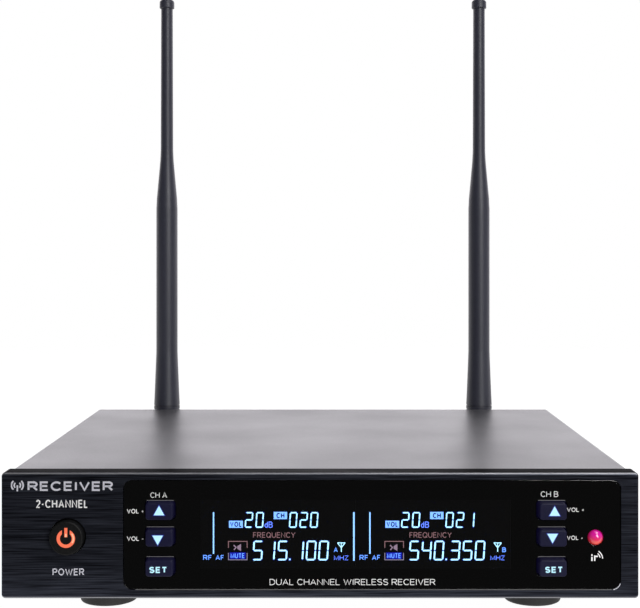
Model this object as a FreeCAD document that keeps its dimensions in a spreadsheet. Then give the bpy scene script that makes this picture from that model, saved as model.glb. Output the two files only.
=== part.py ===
import FreeCAD, Part
import os
from types import SimpleNamespace

import Sketcher
from FreeCAD import Vector

# A two-channel wireless receiver, half a rack wide, with two folding antennas at the back.
#
# Frame: millimetres, +Z up, the front panel faces -Y and +X is to the right seen from the front.
# The origin lies on the surface that the feet stand on, at the centre of the whole object's box.
#
# Pieces at the front are drawn from the front panel's face and its bottom edge, pieces at the
# back from the rear panel's face and the same bottom edge, so y is a depth and z a height there.

SIZE_TABLE = [
    # name, value, what it is
    ("panel_width", 212.0, "front panel, left to right"),
    ("panel_height", 41.9, "front panel, bottom to top"),
    ("panel_depth", 7.5, "front panel's rim, front to back"),
    ("panel_wall", 1.6, "front panel's rim wall"),
    ("panel_corner", 1.3, "front panel's corner radius"),
    ("panel_edge", 0.8, "rounding of the front panel's front edge"),
    ("face_thickness", 3.0, "front panel's face"),
    ("case_depth", 165.0, "front face to the rear panel's outer face"),
    ("foot_height", 8.5, "standing surface to the front panel's bottom edge"),
    ("total_height", 243.9, "standing surface to the antenna tips"),
    ("front_reach", 3.0, "how far the keys stand out of the front face"),
    ("screw_radius", 1.5, "M3 screw"),
    ("tapped_radius", 1.52, "tapped hole for an M3 screw"),
    ("clear_radius", 1.7, "clearance hole for an M3 screw"),
    ("head_radius", 2.8, "M3 pan head"),
    ("head_height", 1.4, "M3 pan head"),
    ("screw_length", 6.0, "M3 screw under its head"),
    # display window
    ("lens_left", -65.4, "window's left edge"),
    ("lens_right", 100.0, "window's right edge"),
    ("lens_bottom", 3.1, "window's bottom edge"),
    ("lens_top", 39.4, "window's top edge"),
    ("lens_corner", 3.0, "window's corner radius"),
    ("lens_pocket", 2.0, "depth of the window's seat in the front panel"),
    ("lens_inset", 0.15, "window's face behind the front face"),
    ("lens_gap", 0.1, "gap round the window"),
    # displays and display board
    ("display_left", -40.3, "left display's left edge"),
    ("display_width", 52.1, "one display, left to right"),
    ("display_pitch", 52.3, "one display to the next"),
    ("display_bottom", 9.0, "display's bottom edge"),
    ("display_height", 24.0, "display, bottom to top"),
    ("display_frame", 0.5, "display edge covered by the front panel"),
    ("display_front", 3.2, "depth of the display glass"),
    ("glass_thickness", 2.0, "display glass"),
    ("board_front", 9.5, "depth of the display board"),
    ("board_thickness", 1.6, "both circuit boards"),
    ("board_left", -93.0, "display board's left edge"),
    ("board_right", 94.8, "display board's right edge"),
    ("board_bottom", 2.7, "display board's bottom edge"),
    ("board_top", 38.7, "display board's top edge"),
    ("boss_left", -72.5, "left display board bosses"),
    ("boss_right", 90.2, "right display board bosses"),
    ("boss_low", 6.5, "lower display board bosses"),
    ("boss_high", 34.5, "upper display board bosses"),
    ("boss_radius", 2.7, "screw boss"),
    # keys
    ("key_column_a", -53.1, "left channel's key column"),
    ("key_column_b", 77.0, "right channel's key column"),
    ("key_up_height", 29.5, "centre of the up keys"),
    ("key_down_height", 20.7, "centre of the down keys"),
    ("key_set_height", 10.8, "centre of the set keys"),
    ("key_width", 9.0, "key cap, left to right"),
    ("key_height", 5.5, "key cap, bottom to top"),
    ("key_corner", 1.0, "key cap's corner radius"),
    ("key_edge", 0.5, "rounding of the key cap's front edge"),
    ("key_gap", 0.5, "gap round a key cap and a button"),
    ("flange_width", 1.1, "how far a key's flange stands out behind the panel"),
    ("flange_front", 3.4, "depth of a key's flange"),
    ("flange_thickness", 1.0, "key's flange"),
    ("stem_length", 0.5, "key's stem behind its flange"),
    ("stem_width", 2.4, "key's stem"),
    ("key_travel", 0.8, "key's travel"),
    ("press_gap", 0.3, "what is left between a pressed key and its switch"),
    ("plunger_height", 0.6, "switch plunger"),
    ("plunger_radius", 1.75, "switch plunger"),
    ("switch_width", 6.0, "switch body"),
    # power button and infrared lamp
    ("power_x", -83.85, "power button's axis"),
    ("power_height", 20.65, "power button's axis"),
    ("power_radius", 5.6, "power button's cap"),
    ("power_flange", 7.0, "power button's flange radius"),
    ("power_travel", 1.2, "power button's travel"),
    ("symbol_depth", 0.4, "inlaid power symbol"),
    ("symbol_outer", 3.05, "power symbol's outer radius"),
    ("symbol_inner", 1.95, "power symbol's inner radius"),
    ("symbol_bar", 1.0, "power symbol's bar width"),
    ("symbol_gap", 2.6, "gap in the power symbol's ring"),
    ("lamp_x", 91.6, "infrared lamp's axis"),
    ("lamp_height", 20.3, "infrared lamp's axis"),
    ("lamp_radius", 2.5, "infrared lamp's dome"),
    ("lamp_reach", 1.8, "how far the dome stands out"),
    # sheet metal case
    ("cover_width", 210.4, "cover, left to right"),
    ("cover_drop", 0.6, "cover's top below and tray's base above the front panel's edges"),
    ("sheet", 1.2, "sheet metal of the cover and the tray"),
    ("seam", 0.1, "gap between folded sheets"),
    ("cover_bend", 1.6, "outer bend radius of the cover"),
    ("tray_side", 16.0, "top of the tray's side walls"),
    ("tab_inner", 94.2, "inner edge of the tray's front tabs"),
    ("tab_top", 38.0, "top of the tray's front tabs"),
    ("tab_screw_x", 98.5, "front panel screws"),
    ("tab_screw_low", 8.0, "lower front panel screws"),
    ("tab_screw_high", 33.5, "upper front panel screws"),
    ("side_screw_front", 20.0, "depth of the front cover screws"),
    ("side_screw_rear", 150.0, "depth of the rear cover screws"),
    ("side_screw_height", 8.8, "cover screws"),
    ("vent_length", 18.0, "vent slot in the cover's sides"),
    ("vent_width", 2.0, "vent slot"),
    ("vent_pitch", 7.0, "vent slot to vent slot"),
    ("vent_front", 84.0, "depth of the first vent slot"),
    ("vent_bottom", 18.5, "bottom of the vent slots in the cover's sides"),
    ("floor_vent_length", 30.0, "vent slot in the tray's base"),
    ("foot_x", 75.4, "feet's axes, left and right"),
    ("foot_front", 30.0, "depth of the front feet's axes"),
    ("foot_rear", 140.0, "depth of the rear feet's axes"),
    ("foot_radius", 10.0, "rubber foot"),
    ("foot_edge", 0.8, "rounding of the foot's bottom edge"),
    ("foot_recess_radius", 4.0, "recess for the foot's screw"),
    ("foot_recess_depth", 4.6, "recess for the foot's screw"),
    # rear panel and its sockets
    ("rear_thickness", 1.5, "rear panel"),
    ("rear_screw_x", 97.0, "rear panel screws"),
    ("rear_screw_low", 4.6, "lower rear panel screws"),
    ("rear_screw_high", 36.4, "upper rear panel screws"),
    ("rear_flange", 7.2, "top of the tray's rear flange"),
    ("rear_lip", 7.0, "cover's rear tabs, top to bottom"),
    ("rear_lip_inner", 88.0, "inner edge of the cover's rear tabs"),
    ("socket_height", 21.0, "axis height of all rear sockets and antenna pivots"),
    ("xlr_a_x", -10.0, "channel A output socket"),
    ("xlr_b_x", -42.0, "channel B output socket"),
    ("xlr_flange_width", 26.0, "output socket's flange"),
    ("xlr_flange_height", 31.0, "output socket's flange"),
    ("xlr_flange", 1.8, "output socket's flange thickness"),
    ("xlr_barrel", 11.7, "output socket's barrel radius"),
    ("xlr_cavity", 9.5, "output socket's inner radius"),
    ("xlr_mouth", 9.9, "output socket's mouth radius"),
    ("xlr_mouth_length", 3.0, "output socket's mouth"),
    ("xlr_depth", 18.0, "output socket behind the rear panel's face"),
    ("xlr_insert", 5.0, "insulator that holds the contact pins"),
    ("xlr_screw_x", 9.5, "output socket's screws from its axis"),
    ("xlr_screw_z", 12.0, "output socket's screws from its axis"),
    ("xlr_pin_radius", 1.2, "contact pin"),
    ("xlr_pin_tip", 1.6, "depth of the contact pins' tips"),
    ("xlr_pin_tail", 23.0, "depth of the contact pins' tails"),
    ("xlr_pin_x", 4.5, "two upper contact pins from the axis"),
    ("xlr_pin_high", 1.3, "two upper contact pins from the axis"),
    ("xlr_pin_low", -4.4, "lower contact pin from the axis"),
    ("jack_x", 22.0, "mixed output jack"),
    ("jack_bore", 3.2, "jack for a 6.35 mm plug"),
    ("jack_thread", 4.5, "jack's threaded nose"),
    ("jack_nose", 4.0, "jack's nose in front of the rear panel"),
    ("jack_depth", 26.0, "jack behind the rear panel's face"),
    ("jack_bore_depth", 24.0, "jack's bore behind the rear panel's face"),
    ("jack_half_width", 7.5, "jack's body"),
    ("jack_half_height", 9.0, "jack's body"),
    ("nut_flats", 12.0, "jack's nut across flats"),
    ("nut_height", 2.5, "jack's nut"),
    ("inlet_x", 48.0, "power inlet"),
    ("inlet_half_width", 4.6, "power inlet's body"),
    ("inlet_half_height", 5.5, "power inlet's body"),
    ("inlet_depth", 14.0, "power inlet behind the rear panel's face"),
    ("inlet_nose", 0.6, "power inlet in front of the rear panel"),
    ("inlet_bore", 3.0, "power inlet's bore"),
    ("inlet_bore_depth", 9.0, "power inlet's bore"),
    ("inlet_pin", 1.05, "power inlet's centre contact"),
    ("inlet_pin_tip", 0.9, "depth of the centre contact's tip"),
    # antennas
    ("antenna_x", 74.65, "antenna axes, left and right"),
    ("pivot_offset", 14.5, "rear panel's face to the antenna's hinge pin"),
    ("bush_flange", 7.5, "antenna bush's flange radius"),
    ("bush_flange_length", 2.5, "antenna bush's flange"),
    ("bush_thread", 5.0, "antenna bush's thread radius"),
    ("bush_depth", 8.0, "antenna bush behind the rear panel's face"),
    ("bush_nut_flats", 14.0, "antenna bush's nut across flats"),
    ("bush_nut_height", 3.5, "antenna bush's nut"),
    ("spindle_radius", 3.0, "swivel's spindle"),
    ("running_gap", 0.05, "radial running clearance of spindles and pins"),
    ("spindle_end", 10.2, "depth of the spindle's end"),
    ("clip_groove", 2.4, "radius of the spindle's clip groove"),
    ("clip_front", 8.3, "depth of the clip"),
    ("clip_thickness", 0.8, "retaining clip"),
    ("clip_radius", 4.6, "retaining clip"),
    ("swivel_gap", 0.3, "gap between the swivel and its bush"),
    ("knuckle_radius", 6.1, "swivel's barrel and antenna base"),
    ("ear_radius", 5.6, "swivel's ears"),
    ("fork_bottom", 9.0, "bottom of the fork's slot from the rear panel's face"),
    ("fork_gap", 2.8, "half the fork's slot"),
    ("tongue_half", 2.5, "half the tongue's thickness"),
    ("tongue_radius", 5.0, "tongue's round end"),
    ("pin_radius", 1.25, "hinge pin"),
    ("base_bottom", 6.3, "antenna base above its hinge pin"),
    ("base_top", 23.6, "top of the antenna base above its hinge pin"),
    ("base_top_radius", 5.95, "antenna base's radius at its top"),
    ("base_groove", 0.6, "height of the antenna base's grooves"),
    ("base_groove_depth", 0.45, "depth of the antenna base's grooves"),
    ("flare_top", 46.5, "end of the sleeve's flare above the hinge pin"),
    ("sleeve_radius", 5.04, "sleeve's thick part"),
    ("taper_bottom", 116.95, "start of the sleeve's taper above the hinge pin"),
    ("taper_top", 140.0, "end of the sleeve's taper above the hinge pin"),
    ("whip_low_radius", 2.95, "sleeve's thin part, at its foot"),
    ("whip_high_radius", 2.77, "sleeve's thin part, at its head"),
    ("cap_length", 4.2, "antenna's tip cap"),
    ("cap_radius", 3.5, "antenna's tip cap"),
    ("cap_edge", 1.6, "rounding of the tip cap"),
    ("core_radius", 1.0, "antenna's wire core"),
    ("core_bottom", 12.0, "core's foot above the hinge pin"),
    # main board and what stands on it
    ("standoff_height", 6.0, "main board's standoffs"),
    ("standoff_radius", 2.9, "main board's standoffs"),
    ("main_half_width", 82.0, "main board, half its width"),
    ("main_front", 46.0, "depth of the main board's front edge"),
    ("main_rear", 136.0, "depth of the main board's rear edge"),
    ("main_screw_inset", 5.0, "main board's screws from its edges"),
    ("shield_height", 8.0, "radio shield can"),
    ("shield_sheet", 0.5, "radio shield can's sheet"),
    ("shield_half_width", 20.0, "radio shield can, half its width"),
    ("shield_front", 92.0, "depth of the radio shields' front"),
    ("shield_rear", 126.0, "depth of the radio shields' rear"),
    ("shield_x", 52.0, "radio shields' centres, left and right"),
    ("capacitor_radius", 5.0, "smoothing capacitor"),
    ("capacitor_height", 14.0, "smoothing capacitor"),
    ("header_width", 24.0, "ribbon cable's headers"),
    ("ribbon_width", 20.0, "ribbon cable"),
    ("ribbon_thickness", 0.9, "ribbon cable"),
    ("ribbon_bend", 3.0, "ribbon cable's bend"),
    ("header_thickness", 6.0, "ribbon cable's headers"),
    ("header_length", 7.0, "ribbon cable's headers, out from their board"),
    ("header_raise", 14.0, "front header's middle above the main board"),
    ("header_inset", 4.0, "main board's header behind the board's front"),
    ("ribbon_x", 12.0, "ribbon cable's middle"),
    ("lens_edge", 0.25, "rounding of the window's edges"),
    ("lamp_gap", 0.1, "between the infrared lamp and its holes"),
    ("lamp_rim", 0.3, "infrared lamp's rim, out from its body"),
    ("lamp_rim_length", 1.0, "infrared lamp's rim"),
    ("lamp_leg", 0.25, "half width of the infrared lamp's legs"),
    ("lamp_leg_x", 1.27, "infrared lamp's legs from its middle"),
    ("key_lamp_gap", 0.4, "between a key's switch and its lamp"),
    ("key_lamp_width", 1.2, "lamp beside a key's switch"),
    ("key_lamp_half", 1.0, "half height of the lamp beside a key's switch"),
    ("key_lamp_height", 0.8, "lamp beside a key's switch, out from the board"),
    ("power_switch_extra", 1.0, "power switch's half width beyond a key switch's"),
    ("floor_vent_start", 10.0, "floor vents behind the main board's front"),
    ("foot_bevel", 0.6, "bevel round a foot's top"),
    ("flange_corner", 3.0, "XLR flange's corners"),
    ("flange_edge", 0.5, "rounding of the XLR flange's face"),
    ("lug_half_thickness", 0.2, "half thickness of the jack's lugs"),
    ("lug_half_width", 1.5, "half width of the sockets' lugs"),
    ("lug_pitch", 5.0, "between the jack's lugs"),
    ("jack_lug_length", 6.0, "jack's lugs"),
    ("inlet_root", 0.35, "inlet's centre contact, its root beyond its pin"),
    ("inlet_bevel", 0.3, "bevel of the inlet's pin"),
    ("inlet_lug_length", 4.0, "inlet's lugs"),
    ("inlet_lug_half", 1.2, "half width of the inlet's middle lug"),
    ("inlet_lug_thickness", 0.6, "inlet's lugs"),
    ("inlet_lug_x", 3.6, "inlet's side lug from the middle"),
    ("bush_bevel", 0.5, "bevel of the antenna bushes"),
    ("swivel_edge", 0.5, "rounding of the swivel's front"),
    ("pin_head_length", 0.5, "heads of the hinge pins"),
    ("pin_head_width", 0.7, "heads of the hinge pins, out from the pin"),
    ("pin_head_edge", 0.35, "rounding of the hinge pins' heads"),
    ("groove_low", 4.6, "antenna base's lower groove below its top"),
    ("groove_high", 2.7, "antenna base's upper groove below its top"),
    ("bend_reach", 2.5, "how far each bend of the sleeve is eased, up and down"),
    ("cap_foot_edge", 0.4, "rounding of the tip cap's foot"),
    ("shield_edge", 0.8, "rounding of the radio shields' tops"),
    ("capacitor_edge", 0.6, "rounding of the capacitors' tops"),
    ("capacitor_inset", 18.0, "capacitors in front of the main board's rear"),
    ("sink_inset", 22.0, "heat sink behind the main board's front"),
    ("sink_x", 45.0, "heat sink's middle"),
    ("sink_height", 18.0, "heat sink"),
    ("sink_half_width", 14.0, "half width of the heat sink"),
    ("sink_back", 2.5, "heat sink's plate"),
    ("fin_thickness", 1.2, "heat sink's fins"),
    ("fin_pitch", 4.0, "between the heat sink's fins"),
    ("fin_depth", 9.0, "heat sink's fins"),
    ("regulator_half_width", 5.0, "half width of the voltage regulator"),
    ("regulator_depth", 4.4, "voltage regulator's body"),
    ("regulator_low", 4.0, "voltage regulator's body above the board"),
    ("regulator_shoulder", 13.0, "top of the voltage regulator's body above the board"),
    ("regulator_top", 17.5, "top of the voltage regulator's tab above the board"),
    ("regulator_tab", 1.3, "voltage regulator's tab"),
    ("leg_pitch", 2.54, "between the voltage regulator's legs"),
    ("leg_half_width", 0.4, "half width of the voltage regulator's legs"),
    ("leg_front", 2.8, "voltage regulator's legs, front from the heat sink"),
    ("leg_rear", 2.2, "voltage regulator's legs, rear from the heat sink"),
    ("chip_height", 1.6, "chips on the main board"),
]

SIDE_VENTS = 9                        # slots in each side of the cover
FLOOR_VENTS = range(-4, 5)            # slots in the tray's base, counted from the middle one
SINK_FINS = range(-3, 4)              # heat sink's fins, counted from the middle one
CAPACITOR_PLACES = (-8.0, 6.0, 20.0)  # capacitors' middles, left to right
CHIPS = (                             # each chip's left, front, right and rear on the main board
    (-22.0, 20.0, -10.0, 32.0), (-60.0, 12.0, -50.0, 18.0), (-60.0, 26.0, -50.0, 32.0))
HEAD_ROUNDING = 0.45   # shares of a screw head's height or radius
RECESS_DEPTH = 0.6
RECESS_ARM = 0.55
RECESS_HALF_WIDTH = 0.1
DOME_ROUNDING = 0.96   # share of the infrared lamp's radius
SLOT_ROUNDING = 0.49   # share of a vent slot's width
PIN_ROUNDING = 0.8     # share of an XLR pin's radius
FORK_CLEARANCE = 1.2   # share of the fork's ear
CLIP_MOUTH_HALF = 0.7  # shares of the clip's groove and radius
CLIP_MOUTH_LOW = 1.1
CLIP_MOUTH_HIGH = 0.6
CORE_REACH = 0.6       # share of the cap's length that the core stops short by

START = 1    # a line's or arc's first point in a sketch
END = 2      # its last point
CENTRE = 3   # an arc's or circle's centre
ORIGIN = -1  # the sketch's own origin
HORIZONTAL_AXIS = -1
VERTICAL_AXIS = -2
HALF_PI = 1.5707963267948966
HEXAGON = (
    (1.0, 0.0), (0.5, 0.8660254), (-0.5, 0.8660254),
    (-1.0, 0.0), (-0.5, -0.8660254), (0.5, -0.8660254))
FLATS_TO_CORNERS = 1.1547005  # a hexagon's width across corners over its width across flats


class Formula:
    """A number together with the sheet expression that gives it, so sizes worked out stay bound."""

    def __init__(self, value, text):
        self.value = value
        self.text = text

    def __add__(self, other):
        other = formula(other)
        return Formula(self.value + other.value, f"({self.text} + {other.text})")

    def __sub__(self, other):
        other = formula(other)
        return Formula(self.value - other.value, f"({self.text} - {other.text})")

    def __mul__(self, factor):
        factor = formula(factor)
        return Formula(self.value * factor.value, f"({self.text} * {factor.text})")

    def __truediv__(self, divisor):
        divisor = formula(divisor)
        return Formula(self.value / divisor.value, f"({self.text} / {divisor.text})")

    def __neg__(self):
        return Formula(-self.value, f"(-{self.text})")

    def __radd__(self, other):
        return formula(other) + self

    def __rsub__(self, other):
        return formula(other) - self

    def __rmul__(self, other):
        return formula(other) * self


def formula(number):
    """A plain number as a formula; a formula as it is."""
    if isinstance(number, Formula):
        return number
    return Formula(float(number), f"({float(number)!r})")


document = FreeCAD.newDocument("receiver")
sheet = document.addObject("Spreadsheet::Sheet", "Sizes")
size = SimpleNamespace()
for row, (name, value, meaning) in enumerate(SIZE_TABLE, start=1):
    sheet.set(f"A{row}", meaning)
    sheet.set(f"B{row}", str(value))
    sheet.setAlias(f"B{row}", name)
    setattr(size, name, Formula(value, f"Sizes.{name}"))
document.recompute()

rear_reach = size.pivot_offset + size.knuckle_radius
front_plane = size.front_reach - (size.front_reach + size.case_depth + rear_reach) / 2
rear_plane = front_plane + size.case_depth
pieces = []


# ---------------------------------------------------------------- bodies, sketches and features

def new_body(label, x=0, y=0, z=0):
    """An empty body whose origin is at x, y, z."""
    body = document.addObject("PartDesign::Body", label)
    body.Label = label
    body.AllowCompound = True
    for axis, place in (("x", x), ("y", y), ("z", z)):
        body.setExpression(f"Placement.Base.{axis}", formula(place).text)
    pieces.append(body)
    return body


def front_body(label, x=0, z=0):
    """A body drawn from the front panel's face and bottom edge."""
    return new_body(label, x, front_plane, size.foot_height + z)


def rear_body(label, x=0, z=0):
    """A body drawn from the rear panel's face and the front panel's bottom edge."""
    return new_body(label, x, rear_plane, size.foot_height + z)


def new_sketch(body, plane, level):
    """A sketch parallel to one of the body's own origin planes, at a level along its normal axis."""
    along_axis = -1 if plane == "XZ" else 1  # a sketch on the XZ plane looks towards -Y
    support = next(item for item in body.Origin.OriginFeatures if item.Role == plane + "_Plane")
    sketch = body.newObject("Sketcher::SketchObject", "Outline")
    sketch.AttachmentSupport = [(support, "")]
    sketch.MapMode = "FlatFace"
    sketch.setExpression("AttachmentOffset.Base.z", (formula(level) * along_axis).text)
    return sketch


def bind(sketch, constraint, amount):
    """Adds a constraint and ties its value to the sheet."""
    number = sketch.addConstraint(constraint)
    sketch.setExpression(f"Constraints[{number}]", amount.text)


def locate(sketch, geometry, point, x, y):
    """Ties a point of the sketch to its distances from the sketch's origin."""
    x, y = formula(x), formula(y)
    for kind, axis, amount in (("DistanceX", VERTICAL_AXIS, x), ("DistanceY", HORIZONTAL_AXIS, y)):
        if amount.value == 0:
            sketch.addConstraint(Sketcher.Constraint("PointOnObject", geometry, point, axis))
        else:
            wanted = Sketcher.Constraint(kind, ORIGIN, START, geometry, point, amount.value)
            bind(sketch, wanted, amount)


def point(x, y):
    return Vector(formula(x).value, formula(y).value, 0)


def circle(x, y, radius):
    """A round outline."""
    def draw(sketch):
        number = sketch.addGeometry(Part.Circle(point(x, y), Vector(0, 0, 1), formula(radius).value))
        locate(sketch, number, CENTRE, x, y)
        bind(sketch, Sketcher.Constraint("Radius", number, formula(radius).value), formula(radius))
    return draw


def polygon(corners):
    """A closed outline of straight lines."""
    def draw(sketch):
        following = corners[1:] + corners[:1]
        lines = []
        for start, end in zip(corners, following):
            lines.append(sketch.addGeometry(Part.LineSegment(point(*start), point(*end))))
        for line, after, start in zip(lines, lines[1:] + lines[:1], corners):
            sketch.addConstraint(Sketcher.Constraint("Coincident", line, END, after, START))
            locate(sketch, line, START, *start)
    return draw


def rectangle(x_low, y_low, x_high, y_high):
    """A rectangular outline with sharp corners."""
    return polygon([(x_low, y_low), (x_high, y_low), (x_high, y_high), (x_low, y_high)])


def rounded_rectangle(x_low, y_low, x_high, y_high, radius):
    """A rectangular outline with round corners."""
    def draw(sketch):
        left, right = x_low + radius, x_high - radius
        low, high = y_low + radius, y_high - radius
        sides = [
            ((left, y_low), (right, y_low)),
            ((x_high, low), (x_high, high)),
            ((right, y_high), (left, y_high)),
            ((x_low, high), (x_low, low)),
        ]
        corners = [((right, low), 3), ((right, high), 0), ((left, high), 1), ((left, low), 2)]
        lines = []
        arcs = []
        for (start, end), (centre, quarter) in zip(sides, corners):
            lines.append(sketch.addGeometry(Part.LineSegment(point(*start), point(*end))))
            ring = Part.Circle(point(*centre), Vector(0, 0, 1), formula(radius).value)
            arc = Part.ArcOfCircle(ring, quarter * HALF_PI, (quarter + 1) * HALF_PI)
            arcs.append(sketch.addGeometry(arc))
        for number, (start, end) in enumerate(sides):
            line, arc, after = lines[number], arcs[number], lines[(number + 1) % 4]
            locate(sketch, line, START, *start)
            locate(sketch, line, END, *end)
            sketch.addConstraint(Sketcher.Constraint("Tangent", line, END, arc, START))
            sketch.addConstraint(Sketcher.Constraint("Coincident", arc, END, after, START))
    return draw


def finish_feature(feature, what):
    """Recomputes and stops if the new feature has failed."""
    document.recompute()
    if "Invalid" in feature.State or "Error" in feature.State or feature.Shape.isNull():
        raise RuntimeError(f"{what} failed in {feature.Label}: {feature.State}")
    return feature


def extrude(body, kind, plane, low, high, outlines):
    """Extrudes outlines along the plane's normal axis, from the level low up to the level high."""
    sketch = new_sketch(body, plane, low)
    for draw in outlines:
        draw(sketch)
    feature = body.newObject(kind, kind.split("::")[1])
    feature.Profile = sketch
    feature.Reversed = (plane == "XZ") == (kind == "PartDesign::Pad")
    feature.setExpression("Length", (high - formula(low)).text)
    return finish_feature(feature, f"{kind} of {body.Label}")


def add(body, plane, low, high, *outlines):
    """Adds material between two levels."""
    extrude(body, "PartDesign::Pad", plane, low, high, outlines)


def cut(body, plane, low, high, *outlines):
    """Removes material between two levels, and makes sure that some was there."""
    before = body.Shape.Volume
    extrude(body, "PartDesign::Pocket", plane, low, high, outlines)
    if body.Shape.Volume >= before:
        raise RuntimeError(f"a cut in {body.Label} removed nothing")


def turn(body, plane, corners):
    """A turned piece: an outline of (radius, height) corners, turned round the plane's vertical axis."""
    sketch = new_sketch(body, plane, 0)
    polygon(corners)(sketch)
    feature = body.newObject("PartDesign::Revolution", "Revolution")
    feature.Profile = sketch
    feature.ReferenceAxis = (sketch, ["V_Axis"])
    feature.Angle = 360
    finish_feature(feature, f"revolution of {body.Label}")


def dress(body, kind, name, amount, wanted):
    """Rounds or bevels the edges for which wanted(box of the edge) is true."""
    base = body.Tip
    names = []
    for number, edge in enumerate(base.Shape.Edges, start=1):
        if wanted(edge.BoundBox):
            names.append(f"Edge{number}")
    if not names:
        raise RuntimeError(f"no edges to round in {body.Label}")
    feature = body.newObject(kind, name)
    feature.Base = (base, names)
    feature.setExpression("Radius" if name == "Fillet" else "Size", formula(amount).text)
    finish_feature(feature, f"{name} of {body.Label}")


def fillet(body, amount, wanted):
    dress(body, "PartDesign::Fillet", "Fillet", amount, wanted)


def chamfer(body, amount, wanted):
    dress(body, "PartDesign::Chamfer", "Chamfer", amount, wanted)


def at(low, high, level):
    """True for an edge that lies at one level: its box's low and high are both there."""
    level = formula(level).value
    return abs(low - level) < 1e-4 and abs(high - level) < 1e-4


def facing(axis, level):
    """Picks the edges that lie in the plane at a level along X, Y or Z."""
    def wanted(box):
        low, high = {"X": (box.XMin, box.XMax), "Y": (box.YMin, box.YMax), "Z": (box.ZMin, box.ZMax)}[axis]
        return at(low, high, level)
    return wanted


def circles(places, radius):
    return [circle(x, y, radius) for x, y in places]


def add_screws(body, plane, places, seat, outward, length=size.screw_length):
    """Pan head screws whose heads sit at a level; outward is 1 when they stand towards the plane's axis."""
    near, far = (seat, seat + size.head_height) if outward > 0 else (seat - size.head_height, seat)
    shank = (seat - length, seat) if outward > 0 else (seat, seat + length)
    top = far if outward > 0 else near
    add(body, plane, near, far, *circles(places, size.head_radius))
    axis = {"XY": "Z", "XZ": "Y", "YZ": "X"}[plane]
    fillet(body, size.head_height * HEAD_ROUNDING, facing(axis, top))
    add(body, plane, shank[0], shank[1], *circles(places, size.screw_radius))
    depth = size.head_height * RECESS_DEPTH
    bottom = (far - depth, far) if outward > 0 else (near, near + depth)
    arm, half = size.head_radius * RECESS_ARM, size.head_radius * RECESS_HALF_WIDTH
    for reach_x, reach_y in ((arm, half), (half, arm)):
        slots = [rectangle(x - reach_x, y - reach_y, x + reach_x, y + reach_y) for x, y in places]
        cut(body, plane, bottom[0], bottom[1], *slots)


def hexagons(places, flats):
    """Hexagonal outlines, flats apart."""
    corner = flats / 2 * FLATS_TO_CORNERS
    return [polygon([(x + corner * c, y + corner * s) for c, s in HEXAGON]) for x, y in places]


# ---------------------------------------------------------------- places that repeat

inside_base = size.cover_drop + size.sheet
cover_top = size.panel_height - size.cover_drop
cover_half = size.cover_width / 2
cover_front = size.panel_depth + size.seam
tray_half = cover_half - size.sheet - size.seam
tray_rear = size.case_depth - size.rear_thickness
board_rear = size.board_front + size.board_thickness
main_bottom = inside_base + size.standoff_height
main_top = main_bottom + size.board_thickness
rear_inside = -size.rear_thickness
socket = size.socket_height

key_rows = {"up": size.key_up_height, "down": size.key_down_height, "set": size.key_set_height}
key_columns = {"a": size.key_column_a, "b": size.key_column_b}
key_places = [(x, z) for x in key_columns.values() for z in key_rows.values()]
antenna_places = [(-size.antenna_x, socket), (size.antenna_x, socket)]
xlr_places = [(size.xlr_a_x, socket), (size.xlr_b_x, socket)]
xlr_screw_places = []
xlr_pin_places = []
for x, z in xlr_places:
    xlr_screw_places.append((x - size.xlr_screw_x, z + size.xlr_screw_z))
    xlr_screw_places.append((x + size.xlr_screw_x, z - size.xlr_screw_z))
    xlr_pin_places.append((x - size.xlr_pin_x, z + size.xlr_pin_high))
    xlr_pin_places.append((x + size.xlr_pin_x, z + size.xlr_pin_high))
    xlr_pin_places.append((x, z + size.xlr_pin_low))
tab_screw_places = [(side * size.tab_screw_x, z) for side in (-1, 1)
                    for z in (size.tab_screw_low, size.tab_screw_high)]
boss_places = [(x, z) for x in (size.boss_left, size.boss_right) for z in (size.boss_low, size.boss_high)]
foot_places = [(side * size.foot_x, y) for side in (-1, 1) for y in (size.foot_front, size.foot_rear)]
main_screw_x = size.main_half_width - size.main_screw_inset
main_screw_rows = (size.main_front + size.main_screw_inset, size.main_rear - size.main_screw_inset)
main_screw_places = [(side * main_screw_x, y) for side in (-1, 1) for y in main_screw_rows]
rear_low_places = [(side * size.rear_screw_x, size.rear_screw_low) for side in (-1, 1)]
rear_high_places = [(side * size.rear_screw_x, size.rear_screw_high) for side in (-1, 1)]
side_screw_places = [(y, size.side_screw_height) for y in (size.side_screw_front, size.side_screw_rear)]


def key_outline(x, z, grow):
    """A key cap's outline, grown all round."""
    half_width, half_height = size.key_width / 2 + grow, size.key_height / 2 + grow
    return rounded_rectangle(x - half_width, z - half_height, x + half_width, z + half_height,
                             size.key_corner + grow)


def lens_outline(grow):
    """The display window's outline, grown all round."""
    return rounded_rectangle(size.lens_left - grow, size.lens_bottom - grow, size.lens_right + grow,
                             size.lens_top + grow, size.lens_corner + grow)


# ---------------------------------------------------------------- front panel and what it carries

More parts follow.
